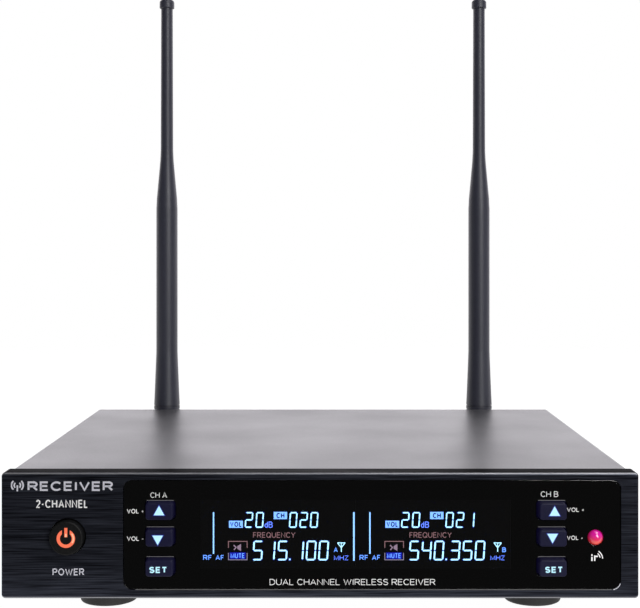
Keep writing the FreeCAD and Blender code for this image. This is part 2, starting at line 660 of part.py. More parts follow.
def make_front_panel():
    """Aluminium tray with a pocket for the window, key holes, display opening and screw bosses."""
    body = front_body("front_panel")
    half, wall = size.panel_width / 2, size.panel_wall
    add(body, "XZ", 0, size.panel_depth,
        rounded_rectangle(-half, 0, half, size.panel_height, size.panel_corner))
    fillet(body, size.panel_edge, facing("Y", 0))
    cut(body, "XZ", size.face_thickness, size.panel_depth,
        rounded_rectangle(wall - half, wall, half - wall, size.panel_height - wall, size.panel_corner / 2))
    cut(body, "XZ", 0, size.lens_pocket, lens_outline(size.lens_gap))
    add(body, "XZ", size.face_thickness, size.panel_depth, *circles(tab_screw_places, size.boss_radius))
    add(body, "XZ", size.face_thickness, size.board_front, *circles(boss_places, size.boss_radius))
    cut(body, "XZ", size.face_thickness, size.panel_depth, *circles(tab_screw_places, size.tapped_radius))
    cut(body, "XZ", size.face_thickness, size.board_front, *circles(boss_places, size.tapped_radius))
    frame = size.display_frame
    left, low = size.display_left + frame, size.display_bottom + frame
    right = size.display_left + size.display_pitch + size.display_width - frame
    high = size.display_bottom + size.display_height - frame
    openings = [rectangle(left, low, right, high)]
    openings.append(circle(size.lamp_x, size.lamp_height, size.lamp_radius + size.lamp_gap))
    openings += [key_outline(x, z, size.key_gap) for x, z in key_places]
    cut(body, "XZ", size.lens_pocket, size.face_thickness, *openings)
    button_hole = circle(size.power_x, size.power_height, size.power_radius + size.key_gap)
    cut(body, "XZ", 0, size.face_thickness, button_hole)


def make_display_lens():
    """Smoked window that fills the pocket, with holes for the keys and the infrared lamp."""
    body = front_body("display_lens")
    add(body, "XZ", size.lens_inset, size.lens_pocket, lens_outline(0))
    holes = [key_outline(x, z, size.key_gap) for x, z in key_places]
    holes.append(circle(size.lamp_x, size.lamp_height, size.lamp_radius + size.lamp_gap))
    cut(body, "XZ", size.lens_inset, size.lens_pocket, *holes)
    fillet(body, size.lens_edge, facing("Y", size.lens_inset))


def make_keys():
    """Six key caps, each with a flange that keeps it behind the panel and a stem for its switch."""
    flange_back = size.flange_front + size.flange_thickness
    half_stem = size.stem_width / 2
    for channel, x in key_columns.items():
        for name, z in key_rows.items():
            body = front_body(f"key_{channel}_{name}", x, z)
            add(body, "XZ", -size.front_reach, size.flange_front, key_outline(0, 0, formula(0)))
            fillet(body, size.key_edge, facing("Y", -size.front_reach))
            add(body, "XZ", size.flange_front, flange_back, key_outline(0, 0, size.flange_width))
            add(body, "XZ", flange_back, flange_back + size.stem_length,
                rectangle(-half_stem, -half_stem, half_stem, half_stem))


def make_power_button():
    """Round cap with a flange, a stem and a pocket for the inlaid symbol."""
    body = front_body("power_button", size.power_x, size.power_height)
    flange_back = size.flange_front + size.flange_thickness
    front = -size.front_reach
    floor = front + size.symbol_depth
    add(body, "XZ", front, size.flange_front, circle(0, 0, size.power_radius))
    fillet(body, size.key_edge, facing("Y", front))
    add(body, "XZ", size.flange_front, flange_back, circle(0, 0, size.power_flange))
    add(body, "XZ", flange_back, flange_back + size.stem_length, circle(0, 0, size.stem_width / 2))
    cut(body, "XZ", front, floor, circle(0, 0, size.symbol_outer), circle(0, 0, size.symbol_inner))
    add(body, "XZ", front, floor, symbol_gap_outline())
    cut(body, "XZ", front, floor, symbol_bar_outline())


def symbol_gap_outline():
    """The break at the top of the power symbol's ring."""
    half = size.symbol_gap / 2
    return rectangle(-half, size.symbol_inner / 2, half, size.symbol_outer + size.symbol_bar / 2)


def symbol_bar_outline():
    """The upright bar in the break of the power symbol's ring."""
    half = size.symbol_bar / 2
    return rectangle(-half, half, half, size.symbol_outer + half)


def make_power_symbol():
    """Clear inlay: a broken ring and an upright bar, flush with the button's face."""
    body = front_body("power_symbol", size.power_x, size.power_height)
    front = -size.front_reach
    floor = front + size.symbol_depth
    add(body, "XZ", front, floor, circle(0, 0, size.symbol_outer), circle(0, 0, size.symbol_inner))
    cut(body, "XZ", front, floor, symbol_gap_outline())
    add(body, "XZ", front, floor, symbol_bar_outline())


def make_infrared_lamp():
    """Domed 5 mm lamp with its rim and two legs."""
    body = front_body("ir_lamp", size.lamp_x, size.lamp_height)
    add(body, "XZ", -size.lamp_reach, size.flange_front, circle(0, 0, size.lamp_radius))
    fillet(body, size.lamp_radius * DOME_ROUNDING, facing("Y", -size.lamp_reach))
    rim_back = size.flange_front + size.lamp_rim_length
    add(body, "XZ", size.flange_front, rim_back, circle(0, 0, size.lamp_radius + size.lamp_rim))
    leg = size.lamp_leg
    legs = [rectangle(x - leg, -leg, x + leg, leg) for x in (-size.lamp_leg_x, size.lamp_leg_x)]
    add(body, "XZ", rim_back, size.board_front, *legs)


def make_displays():
    """Two display glasses side by side, and the light boxes that stand behind them on the board."""
    outlines = []
    for number in range(2):
        left = size.display_left + size.display_pitch * number
        outlines.append(rectangle(left, size.display_bottom, left + size.display_width,
                                  size.display_bottom + size.display_height))
    glass_back = size.display_front + size.glass_thickness
    glasses = front_body("lcd_glasses")
    add(glasses, "XZ", size.display_front, glass_back, *outlines)
    boxes = front_body("lcd_backlights")
    add(boxes, "XZ", glass_back, size.board_front, *outlines)


def make_display_board():
    """Upright circuit board behind the front panel."""
    body = front_body("display_board")
    add(body, "XZ", size.board_front, board_rear,
        rectangle(size.board_left, size.board_bottom, size.board_right, size.board_top))
    cut(body, "XZ", size.board_front, board_rear, *circles(boss_places, size.clear_radius))


def make_switches():
    """Key switches, key lamps and the power switch, all on the display board's front."""
    half = size.switch_width / 2
    pressed = size.flange_front + size.flange_thickness + size.stem_length + size.key_travel
    plunger = pressed + size.press_gap
    switches = front_body("key_switches")
    bodies = [rectangle(x - half, z - half, x + half, z + half) for x, z in key_places]
    add(switches, "XZ", plunger + size.plunger_height, size.board_front, *bodies)
    add(switches, "XZ", plunger, plunger + size.plunger_height, *circles(key_places, size.plunger_radius))
    lamps = front_body("key_lamps")
    lamp_left = half + size.key_lamp_gap
    lamp_right = lamp_left + size.key_lamp_width
    lamp_outlines = [rectangle(x + lamp_left, z - size.key_lamp_half, x + lamp_right, z + size.key_lamp_half)
                     for x, z in key_places]
    add(lamps, "XZ", size.board_front - size.key_lamp_height, size.board_front, *lamp_outlines)
    power = front_body("power_switch", size.power_x, size.power_height)
    power_plunger = plunger + size.power_travel - size.key_travel
    wide = half + size.power_switch_extra
    plunger_back = power_plunger + size.plunger_height
    add(power, "XZ", plunger_back, size.board_front, rectangle(-wide, -wide, wide, wide))
    add(power, "XZ", power_plunger, plunger_back, circle(0, 0, size.plunger_radius))


# ---------------------------------------------------------------- sheet metal case

def make_top_cover():
    """Folded cover: top and two sides, with two tabs for the rear panel, vent slots and screw holes."""
    body = front_body("top_cover")
    low, inner_top = size.cover_drop, cover_top - size.sheet
    inner = cover_half - size.sheet
    add(body, "XZ", cover_front, size.case_depth, polygon([
        (-cover_half, low), (-cover_half, cover_top), (cover_half, cover_top), (cover_half, low),
        (inner, low), (inner, inner_top), (-inner, inner_top), (-inner, low)]))
    outer, top = cover_half.value - 1e-3, cover_top.value - 1e-3
    fillet(body, size.cover_bend, lambda box: box.YLength > 1 and box.ZMin > top and abs(box.XMin) > outer)
    tab_outer = size.rear_screw_x + size.head_radius
    tab_low, tab_high = inner_top - size.rear_lip, inner_top + size.sheet / 2
    add(body, "XZ", tray_rear - size.sheet, tray_rear,
        rectangle(-tab_outer, tab_low, -size.rear_lip_inner, tab_high),
        rectangle(size.rear_lip_inner, tab_low, tab_outer, tab_high))
    cut(body, "XZ", tray_rear - size.sheet, tray_rear, *circles(rear_high_places, size.tapped_radius))
    cut(body, "YZ", -cover_half, cover_half, *circles(side_screw_places, size.clear_radius))
    slots = []
    for number in range(SIDE_VENTS):
        front = size.vent_front + size.vent_pitch * number
        slots.append(rounded_rectangle(front, size.vent_bottom, front + size.vent_width,
                                       size.vent_bottom + size.vent_length, size.vent_width * SLOT_ROUNDING))
    cut(body, "YZ", -cover_half, cover_half, *slots)


def make_bottom_tray():
    """Folded tray: base, low side walls, two front tabs and a rear flange."""
    body = front_body("bottom_tray")
    low, side_top, inner = size.cover_drop, size.tray_side, tray_half - size.sheet
    add(body, "XZ", cover_front, tray_rear, polygon([
        (-tray_half, low), (tray_half, low), (tray_half, side_top), (inner, side_top),
        (inner, inside_base), (-inner, inside_base), (-inner, side_top), (-tray_half, side_top)]))
    tabs = [rectangle(size.tab_inner, inside_base, inner + size.seam, size.tab_top),
            rectangle(-inner - size.seam, inside_base, -size.tab_inner, size.tab_top)]
    add(body, "XZ", cover_front, cover_front + size.sheet, *tabs)
    add(body, "XZ", tray_rear - size.sheet, tray_rear,
        rectangle(-inner - size.seam, inside_base - size.seam, inner + size.seam, size.rear_flange))
    cut(body, "XZ", cover_front, cover_front + size.sheet, *circles(tab_screw_places, size.clear_radius))
    cut(body, "XZ", tray_rear - size.sheet, tray_rear, *circles(rear_low_places, size.tapped_radius))
    cut(body, "YZ", -tray_half, tray_half, *circles(side_screw_places, size.tapped_radius))
    holes = circles(foot_places, size.tapped_radius) + circles(main_screw_places, size.tapped_radius)
    vent_front = size.main_front + size.floor_vent_start
    vent_rear = vent_front + size.floor_vent_length
    half = size.vent_width / 2
    for number in FLOOR_VENTS:
        middle = size.vent_pitch * number
        holes.append(rounded_rectangle(middle - half, vent_front, middle + half, vent_rear,
                                       size.vent_width * SLOT_ROUNDING))
    cut(body, "XY", low, inside_base, *holes)


def make_feet():
    """Four round rubber feet with a recess for the screw that holds each."""
    body = new_body("feet", 0, front_plane, 0)
    top = size.foot_height + size.cover_drop
    add(body, "XY", 0, top, *circles(foot_places, size.foot_radius))
    fillet(body, size.foot_edge, facing("Z", 0))
    chamfer(body, size.foot_bevel, facing("Z", top))
    cut(body, "XY", 0, size.foot_recess_depth, *circles(foot_places, size.foot_recess_radius))
    cut(body, "XY", size.foot_recess_depth, top, *circles(foot_places, size.clear_radius))
    screws = new_body("foot_screws", 0, front_plane, 0)
    add_screws(screws, "XY", foot_places, size.foot_recess_depth, -1, size.screw_length)


def make_case_screws():
    """Screws of the cover's sides, the rear panel and the front panel."""
    cover = front_body("cover_screws")
    add_screws(cover, "YZ", side_screw_places, -cover_half, -1)
    add_screws(cover, "YZ", side_screw_places, cover_half, 1)
    rear = front_body("rear_panel_screws")
    add_screws(rear, "XZ", rear_low_places + rear_high_places, size.case_depth, 1)
    front = front_body("front_panel_screws")
    seat = cover_front + size.sheet
    add_screws(front, "XZ", tab_screw_places, seat, 1, size.screw_length - size.sheet)


# ---------------------------------------------------------------- rear panel and sockets

def make_rear_panel():
    """Plate with the socket openings and screw holes."""
    body = rear_body("rear_panel")
    half = cover_half - size.sheet - size.seam * 2
    add(body, "XZ", rear_inside, 0,
        rectangle(-half, size.cover_drop, half, cover_top - size.sheet - size.seam * 2))
    holes = circles(xlr_places, size.xlr_barrel + size.seam) + circles(xlr_screw_places, size.tapped_radius)
    holes += circles(antenna_places, size.bush_thread + size.seam)
    holes += circles(rear_low_places + rear_high_places, size.clear_radius)
    holes.append(circle(size.jack_x, socket, size.jack_thread + size.seam))
    wide, tall = size.inlet_half_width + size.seam, size.inlet_half_height + size.seam
    holes.append(rectangle(size.inlet_x - wide, socket - tall, size.inlet_x + wide, socket + tall))
    cut(body, "XZ", rear_inside, 0, *holes)


def make_xlr_sockets():
    """Two three-pin output sockets: metal shells, insulators, contact pins and screws."""
    mouth_end = size.xlr_flange
    half_width, half_height = size.xlr_flange_width / 2, size.xlr_flange_height / 2
    shells = rear_body("xlr_shells")
    flanges = []
    for x, z in xlr_places:
        flanges.append(rounded_rectangle(x - half_width, z - half_height, x + half_width, z + half_height,
                                         size.flange_corner))
    add(shells, "XZ", 0, mouth_end, *flanges)
    fillet(shells, size.flange_edge, facing("Y", mouth_end))
    add(shells, "XZ", -size.xlr_depth, 0, *circles(xlr_places, size.xlr_barrel))
    cut(shells, "XZ", -size.xlr_depth, mouth_end, *circles(xlr_places, size.xlr_cavity))
    cut(shells, "XZ", mouth_end - size.xlr_mouth_length, mouth_end, *circles(xlr_places, size.xlr_mouth))
    cut(shells, "XZ", 0, mouth_end, *circles(xlr_screw_places, size.clear_radius))

    inserts = rear_body("xlr_inserts")
    back = -size.xlr_depth
    add(inserts, "XZ", back, back + size.xlr_insert, *circles(xlr_places, size.xlr_cavity - size.seam / 2))
    cut(inserts, "XZ", back, back + size.xlr_insert, *circles(xlr_pin_places, size.xlr_pin_radius))

    contacts = rear_body("xlr_contacts")
    add(contacts, "XZ", -size.xlr_pin_tail, -size.xlr_pin_tip, *circles(xlr_pin_places, size.xlr_pin_radius))
    fillet(contacts, size.xlr_pin_radius * PIN_ROUNDING, facing("Y", -size.xlr_pin_tip))

    screws = rear_body("xlr_screws")
    add_screws(screws, "XZ", xlr_screw_places, mouth_end, 1)


def make_mix_jack():
    """Mixed output jack for a 6.35 mm plug: body with a threaded nose, nut and solder lugs."""
    body = rear_body("mix_jack_body", size.jack_x, socket)
    wide, tall = size.jack_half_width, size.jack_half_height
    add(body, "XZ", -size.jack_depth, rear_inside, rectangle(-wide, -tall, wide, tall))
    add(body, "XZ", rear_inside, size.jack_nose, circle(0, 0, size.jack_thread))
    cut(body, "XZ", -size.jack_bore_depth, size.jack_nose, circle(0, 0, size.jack_bore))
    nut = rear_body("mix_jack_nut", size.jack_x, socket)
    add(nut, "XZ", 0, size.nut_height, *hexagons([(0, 0)], size.nut_flats))
    cut(nut, "XZ", 0, size.nut_height, circle(0, 0, size.jack_thread + size.seam / 5))
    lugs = rear_body("mix_jack_lugs", size.jack_x, socket)
    thin, half = size.lug_half_thickness, size.lug_half_width
    outlines = [rectangle(x - thin, -half, x + thin, half) for x in (-size.lug_pitch, 0, size.lug_pitch)]
    add(lugs, "XZ", -size.jack_depth - size.jack_lug_length, -size.jack_depth, *outlines)


def make_power_inlet():
    """Low-voltage power inlet with its centre contact and lugs."""
    body = rear_body("dc_inlet", size.inlet_x, socket)
    wide, tall = size.inlet_half_width, size.inlet_half_height
    root = size.inlet_pin + size.inlet_root
    add(body, "XZ", -size.inlet_depth, size.inlet_nose, rectangle(-wide, -tall, wide, tall))
    cut(body, "XZ", -size.inlet_bore_depth, size.inlet_nose, circle(0, 0, size.inlet_bore))
    cut(body, "XZ", -size.inlet_depth, -size.inlet_bore_depth, circle(0, 0, root))
    contacts = rear_body("dc_inlet_contacts", size.inlet_x, socket)
    add(contacts, "XZ", -size.inlet_depth, -size.inlet_bore_depth, circle(0, 0, root))
    add(contacts, "XZ", -size.inlet_bore_depth, -size.inlet_pin_tip, circle(0, 0, size.inlet_pin))
    chamfer(contacts, size.inlet_bevel, facing("Y", -size.inlet_pin_tip))
    thin, half = size.inlet_lug_thickness / 2, size.inlet_lug_half
    middle_lug = rectangle(-half, -thin, half, thin)
    side, tall = size.inlet_lug_x, size.lug_half_width
    side_lug = rectangle(-side - thin, -tall, thin - side, tall)
    add(contacts, "XZ", -size.inlet_depth - size.inlet_lug_length, -size.inlet_depth, middle_lug, side_lug)


# ---------------------------------------------------------------- antennas

def make_antenna_mounts():
    """Flanged bushes through the rear panel, and the nuts that hold them from inside."""
    bushes = rear_body("antenna_bushes")
    add(bushes, "XZ", 0, size.bush_flange_length, *circles(antenna_places, size.bush_flange))
    chamfer(bushes, size.bush_bevel, facing("Y", size.bush_flange_length))
    add(bushes, "XZ", -size.bush_depth, 0, *circles(antenna_places, size.bush_thread))
    cut(bushes, "XZ", -size.bush_depth, size.bush_flange_length,
        *circles(antenna_places, size.spindle_radius + size.running_gap))
    nuts = rear_body("antenna_nuts")
    add(nuts, "XZ", rear_inside - size.bush_nut_height, rear_inside,
        *hexagons(antenna_places, size.bush_nut_flats))
    cut(nuts, "XZ", rear_inside - size.bush_nut_height, rear_inside,
        *circles(antenna_places, size.bush_thread + size.seam / 5))


def make_swivel(channel, x):
    """Spindle, barrel and fork that turn in the bush about the front-to-back axis."""
    body = rear_body(f"antenna_{channel}_swivel", x, socket)
    front = size.bush_flange_length + size.swivel_gap
    ear = size.ear_radius
    add(body, "XZ", -size.spindle_end, front, circle(0, 0, size.spindle_radius))
    clip_back = -size.clip_front
    cut(body, "XZ", clip_back - size.clip_thickness, clip_back,
        circle(0, 0, size.spindle_radius + size.seam), circle(0, 0, size.clip_groove))
    add(body, "XZ", front, size.fork_bottom, circle(0, 0, size.knuckle_radius))
    fillet(body, size.swivel_edge, facing("Y", front))
    half = size.knuckle_radius
    add(body, "YZ", -half, half, rectangle(size.fork_bottom - 1, -ear, size.pivot_offset, ear))
    add(body, "YZ", -half, half, circle(size.pivot_offset, 0, ear))
    gap = size.fork_gap
    clear = ear * FORK_CLEARANCE
    cut(body, "YZ", -gap, gap, rectangle(size.fork_bottom, -clear, size.pivot_offset + clear, clear))
    cut(body, "YZ", -half, half, circle(size.pivot_offset, 0, size.pin_radius))


def make_clip(channel, x):
    """Open ring in the spindle's groove, behind the bush."""
    body = rear_body(f"antenna_{channel}_clip", x, socket)
    clip_back = -size.clip_front
    clip_end = clip_back - size.clip_thickness
    add(body, "XZ", clip_end, clip_back, circle(0, 0, size.clip_radius), circle(0, 0, size.clip_groove))
    half = size.clip_groove * CLIP_MOUTH_HALF
    cut(body, "XZ", clip_end, clip_back,
        rectangle(-half, -size.clip_radius * CLIP_MOUTH_LOW, half, -size.clip_groove * CLIP_MOUTH_HIGH))


def antenna_body(label, x):
    """A body drawn from the antenna's hinge pin."""
    return new_body(label, x, rear_plane + size.pivot_offset, size.foot_height + socket)


def make_hinge_pin(channel, x):
    """Pin across the fork, with a shallow domed head at each end."""
    body = antenna_body(f"antenna_{channel}_hinge_pin", x)
    half = size.knuckle_radius
    add(body, "YZ", -half, half, circle(0, 0, size.pin_radius))
    end = half + size.pin_head_length
    for low, high in ((-end, -half), (half, end)):
        add(body, "YZ", low, high, circle(0, 0, size.pin_radius + size.pin_head_width))
    fillet(body, size.pin_head_edge, lambda box: at(abs(box.XMin), abs(box.XMax), end))


def make_antenna_base(channel, x):
    """Moulded foot of the antenna: a tongue on the hinge pin, and a round base with two grooves."""
    body = antenna_body(f"antenna_{channel}_base", x)
    base, radius, half = size.base_bottom, size.knuckle_radius, size.tongue_half
    groove, depth = size.base_groove, size.base_groove_depth
    first, second = size.base_top - size.groove_low, size.base_top - size.groove_high
    turn(body, "XZ", [
        (0, base), (radius, base),
        (radius, first - groove), (radius - depth, first - groove), (radius - depth, first), (radius, first),
        (radius, second - groove), (radius - depth, second - groove),
        (radius - depth, second), (radius, second), (size.base_top_radius, size.base_top),
        (size.core_radius + size.running_gap, size.base_top),
        (size.core_radius + size.running_gap, size.core_bottom), (0, size.core_bottom)])
    add(body, "YZ", -half, half, rectangle(-size.tongue_radius, 0, size.tongue_radius, base + 1))
    add(body, "YZ", -half, half, circle(0, 0, size.tongue_radius))
    cut(body, "YZ", -half, half, circle(0, 0, size.pin_radius + size.running_gap))


def make_antenna_sleeve(channel, x):
    """Rubber sleeve: flared foot, thick part, taper with eased bends and thin part, with the core's bore."""
    body = antenna_body(f"antenna_{channel}_sleeve", x)
    bore = size.core_radius + size.running_gap
    cap_bottom = size.total_height - size.foot_height - socket - size.cap_length
    low, high, reach = size.taper_bottom, size.taper_top, size.bend_reach
    thick, thin, head = size.sleeve_radius, size.whip_low_radius, size.whip_high_radius
    taper_step = (thick - thin) / (high - low) * reach
    thin_step = (thin - head) / (cap_bottom - high) * reach
    turn(body, "XZ", [
        (bore, size.base_top), (size.base_top_radius, size.base_top), (thick, size.flare_top),
        (thick, low - reach), (thick - taper_step, low + reach),
        (thin + taper_step, high - reach), (thin - thin_step, high + reach),
        (head, cap_bottom), (bore, cap_bottom)])


def make_antenna_cap(channel, x):
    """Rounded cap over the end of the sleeve and core."""
    body = antenna_body(f"antenna_{channel}_cap", x)
    top = size.total_height - size.foot_height - socket
    bottom = top - size.cap_length
    add(body, "XY", bottom, top, circle(0, 0, size.cap_radius))
    fillet(body, size.cap_edge, facing("Z", top))
    fillet(body, size.cap_foot_edge, facing("Z", bottom))
    cut(body, "XY", bottom, bottom + size.cap_length / 2, circle(0, 0, size.core_radius + size.running_gap))


def make_antenna_core(channel, x):
    """Wire core from the base up into the cap."""
    body = antenna_body(f"antenna_{channel}_core", x)
    top = size.total_height - size.foot_height - socket - size.cap_length * CORE_REACH
    add(body, "XY", size.core_bottom, top, circle(0, 0, size.core_radius))


def make_antennas():
    make_antenna_mounts()
    for channel, x in (("a", -size.antenna_x), ("b", size.antenna_x)):
        make_swivel(channel, x)
        make_clip(channel, x)
        make_hinge_pin(channel, x)
        make_antenna_base(channel, x)
        make_antenna_sleeve(channel, x)
        make_antenna_cap(channel, x)
        make_antenna_core(channel, x)


# ---------------------------------------------------------------- main board and inner pieces

def make_main_board():
    """Level circuit board on four standoffs."""
    posts = front_body("board_standoffs")
    add(posts, "XY", inside_base, main_bottom, *hexagons(main_screw_places, size.standoff_radius * 2))
    cut(posts, "XY", inside_base, main_bottom, *circles(main_screw_places, size.tapped_radius))
    board = front_body("main_board")
    add(board, "XY", main_bottom, main_top,
        rectangle(-size.main_half_width, size.main_front, size.main_half_width, size.main_rear))
    cut(board, "XY", main_bottom, main_top, *circles(main_screw_places, size.clear_radius))
    screws = front_body("board_screws")
    add_screws(screws, "XY", main_screw_places, main_top, 1, size.standoff_height)
    add_screws(screws, "XZ", boss_places, board_rear, 1, size.screw_length)


def make_radio_shields():
    """Two folded cans over the radio sections, one for each channel."""
    body = front_body("rf_shields")
    wall = size.shield_sheet
    outer = []
    inner = []
    for side in (-1, 1):
        middle = side * size.shield_x
        left, right = middle - size.shield_half_width, middle + size.shield_half_width
        outer.append(rectangle(left, size.shield_front, right, size.shield_rear))
        inner.append(rectangle(left + wall, size.shield_front + wall, right - wall, size.shield_rear - wall))
    add(body, "XY", main_top, main_top + size.shield_height, *outer)
    fillet(body, size.shield_edge, facing("Z", main_top + size.shield_height))
    cut(body, "XY", main_top, main_top + size.shield_height - wall, *inner)


def make_power_section():
    """Smoothing capacitors, and the voltage regulator on its finned heat sink."""
    capacitors = front_body("capacitors")
    capacitor_top = main_top + size.capacitor_height
    places = [(x, size.main_rear - size.capacitor_inset) for x in CAPACITOR_PLACES]
    add(capacitors, "XY", main_top, capacitor_top, *circles(places, size.capacitor_radius))
    fillet(capacitors, size.capacitor_edge, facing("Z", capacitor_top))

    back = size.main_front + size.sink_inset
    sink_top = main_top + size.sink_height
    sink = front_body("heat_sink", size.sink_x)
    half, thin = size.sink_half_width, size.fin_thickness / 2
    fin_front, fin_rear = back + size.sink_back / 2, back + size.sink_back + size.fin_depth
    add(sink, "XY", main_top, sink_top, rectangle(-half, back, half, back + size.sink_back))
    fins = []
    for number in SINK_FINS:
        middle = size.fin_pitch * number
        fins.append(rectangle(middle - thin, fin_front, middle + thin, fin_rear))
    add(sink, "XY", main_top, sink_top, *fins)

    regulator = front_body("voltage_regulator", size.sink_x)
    wide, shoulder = size.regulator_half_width, main_top + size.regulator_shoulder
    low = main_top + size.regulator_low
    add(regulator, "XY", low, shoulder, rectangle(-wide, back - size.regulator_depth, wide, back))
    add(regulator, "XY", shoulder, main_top + size.regulator_top,
        rectangle(-wide, back - size.regulator_tab, wide, back))
    legs = []
    for x in (-size.leg_pitch, formula(0), size.leg_pitch):
        legs.append(rectangle(x - size.leg_half_width, back - size.leg_front,
                              x + size.leg_half_width, back - size.leg_rear))
    add(regulator, "XY", main_top, low, *legs)


def make_chips():
    """Processor and two audio chips on the main board."""
    body = front_body("chips")
    outlines = [rectangle(left, size.main_front + front, right, size.main_front + rear)
                for left, front, right, rear in CHIPS]
    add(body, "XY", main_top, main_top + size.chip_height, *outlines)


def make_ribbon():
    """Flat ribbon between the two boards, with a header at each end."""
    half, thick = size.header_width / 2, size.header_thickness
    height = main_top + size.header_raise
    header_back = board_rear + size.header_length
    header_top = main_top + size.header_length
    main_header = size.main_front + size.header_inset
    headers = front_body("ribbon_headers", size.ribbon_x)
    add(headers, "XZ", board_rear, header_back,
        rectangle(-half, height - thick / 2, half, height + thick / 2))
    add(headers, "XY", main_top, header_top, rectangle(-half, main_header, half, main_header + thick))
    ribbon = front_body("ribbon_cable", size.ribbon_x)
    half_sheet = size.ribbon_thickness / 2
    low, high = height - half_sheet, height + half_sheet
    drop = main_header + thick / 2
    near, far = drop - half_sheet, drop + half_sheet
    add(ribbon, "YZ", -size.ribbon_width / 2, size.ribbon_width / 2, polygon([
        (header_back, low), (near, low), (near, header_top),
        (far, header_top), (far, high), (header_back, high)]))
    fillet(ribbon, size.ribbon_bend,
           lambda box: at(box.YMin, box.YMax, near) and at(box.ZMin, box.ZMax, low))
    fillet(ribbon, size.ribbon_bend + size.ribbon_thickness,
           lambda box: at(box.YMin, box.YMax, far) and at(box.ZMin, box.ZMax, high))


# ---------------------------------------------------------------- build, check and write

make_front_panel()
make_display_lens()
make_keys()
make_power_button()
make_power_symbol()
make_infrared_lamp()
make_displays()
make_display_board()
make_switches()
make_top_cover()
make_bottom_tray()
make_feet()
make_case_screws()
make_rear_panel()
make_xlr_sockets()
make_mix_jack()
make_power_inlet()
make_antennas()
make_main_board()
make_radio_shields()
make_power_section()
make_chips()
make_ribbon()

document.recompute()
for item in document.Objects:
    if "Invalid" in item.State or "Error" in item.State:
        raise RuntimeError(f"{item.Label} is {item.State}")
for body in pieces:
    if body.Shape.isNull() or not body.Shape.isValid() or not body.Shape.Solids:
        raise RuntimeError(f"{body.Label} has no valid solid")

os.makedirs("parts", exist_ok=True)
for body in pieces:
    body.Shape.exportStep(f"parts/{body.Label}.step")
    print(f"{body.Label}: {len(body.Shape.Solids)} solid(s), {body.Shape.Volume:.1f} mm3")
print(f"{len(pieces)} pieces")
print(f"front face at y = {front_plane.value:.2f}, rear face at y = {rear_plane.value:.2f}")
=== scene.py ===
import math

import bmesh
import bpy
from mathutils import Matrix, Vector


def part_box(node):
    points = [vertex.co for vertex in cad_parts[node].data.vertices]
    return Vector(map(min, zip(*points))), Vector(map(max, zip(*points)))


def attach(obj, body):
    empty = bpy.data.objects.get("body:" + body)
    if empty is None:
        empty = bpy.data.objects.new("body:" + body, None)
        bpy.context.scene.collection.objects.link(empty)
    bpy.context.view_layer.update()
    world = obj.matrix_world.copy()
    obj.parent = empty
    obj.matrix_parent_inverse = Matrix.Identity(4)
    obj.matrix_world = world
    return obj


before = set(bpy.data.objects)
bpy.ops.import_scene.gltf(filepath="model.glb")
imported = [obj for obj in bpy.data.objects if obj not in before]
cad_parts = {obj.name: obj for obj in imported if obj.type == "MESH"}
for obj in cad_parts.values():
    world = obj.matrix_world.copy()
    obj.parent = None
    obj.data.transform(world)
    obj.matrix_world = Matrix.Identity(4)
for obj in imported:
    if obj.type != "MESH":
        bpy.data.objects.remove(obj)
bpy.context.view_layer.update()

# A two-channel wireless receiver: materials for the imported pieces, the lit displays, the printed
# labels and the key legends, and a plain white studio. Lengths are in metres; MM turns millimetres
# into metres. Words on the panel and window are placed in millimetres from the panel's middle and
# bottom edge, and what a display shows from its own glass's lower left corner.

MM = 0.001
MICRON = 0.001 * MM

panel_low, panel_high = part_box("front_panel")
lens_low, lens_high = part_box("display_lens")
glass_low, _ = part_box("lcd_glasses")
_, rear_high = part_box("rear_panel")
FACE_Y = panel_low.y
BASE_Z = panel_low.z


# ---------------------------------------------------------------- materials

def linear(red, green, blue):
    """A colour given as 0 to 255 screen values, as the linear colour that shaders use."""
    def one(value):
        share = value / 255
        return share / 12.92 if share <= 0.04045 else ((share + 0.055) / 1.055) ** 2.4
    return (one(red), one(green), one(blue), 1.0)


def rgb(red, green, blue):
    """A colour that is already linear."""
    return (red, green, blue, 1.0)


def grey(value):
    return rgb(value, value, value)


def new_material(name, **sockets):
    """A material with one Principled shader, whose plain sockets are set by name."""
    material = bpy.data.materials.new(name)
    material.use_nodes = True
    shader = material.node_tree.nodes["Principled BSDF"]
    for socket, value in sockets.items():
        shader.inputs[socket.replace("_", " ")].default_value = value
    return material


def add_node(material, kind, **settings):
    node = material.node_tree.nodes.new(kind)
    for name, value in settings.items():
        setattr(node, name, value)
    return node


def link(material, source, target):
    material.node_tree.links.new(source, target)


def coordinates(material, kind):
    """The X, Y and Z of the Object coordinates or of the Normal."""
    split = add_node(material, "ShaderNodeSeparateXYZ")
    link(material, add_node(material, "ShaderNodeTexCoord").outputs[kind], split.inputs[0])
    return split.outputs


def noise(material, scale, stretch=(1, 1, 1), detail=3.0):
    """Noise in the object's own coordinates, in cycles per metre, with a stretch along X, Y and Z."""
    place = add_node(material, "ShaderNodeTexCoord")
    mapping = add_node(material, "ShaderNodeMapping")
    mapping.inputs["Scale"].default_value = [scale * s for s in stretch]
    texture = add_node(material, "ShaderNodeTexNoise")
    texture.inputs["Scale"].default_value = 1.0
    texture.inputs["Detail"].default_value = detail
    link(material, place.outputs["Object"], mapping.inputs["Vector"])
    link(material, mapping.outputs["Vector"], texture.inputs["Vector"])
    return texture.outputs["Fac"]


NOISE_LOW, NOISE_HIGH = 0.3, 0.7    # the part of a noise's range that is spread over the wanted values


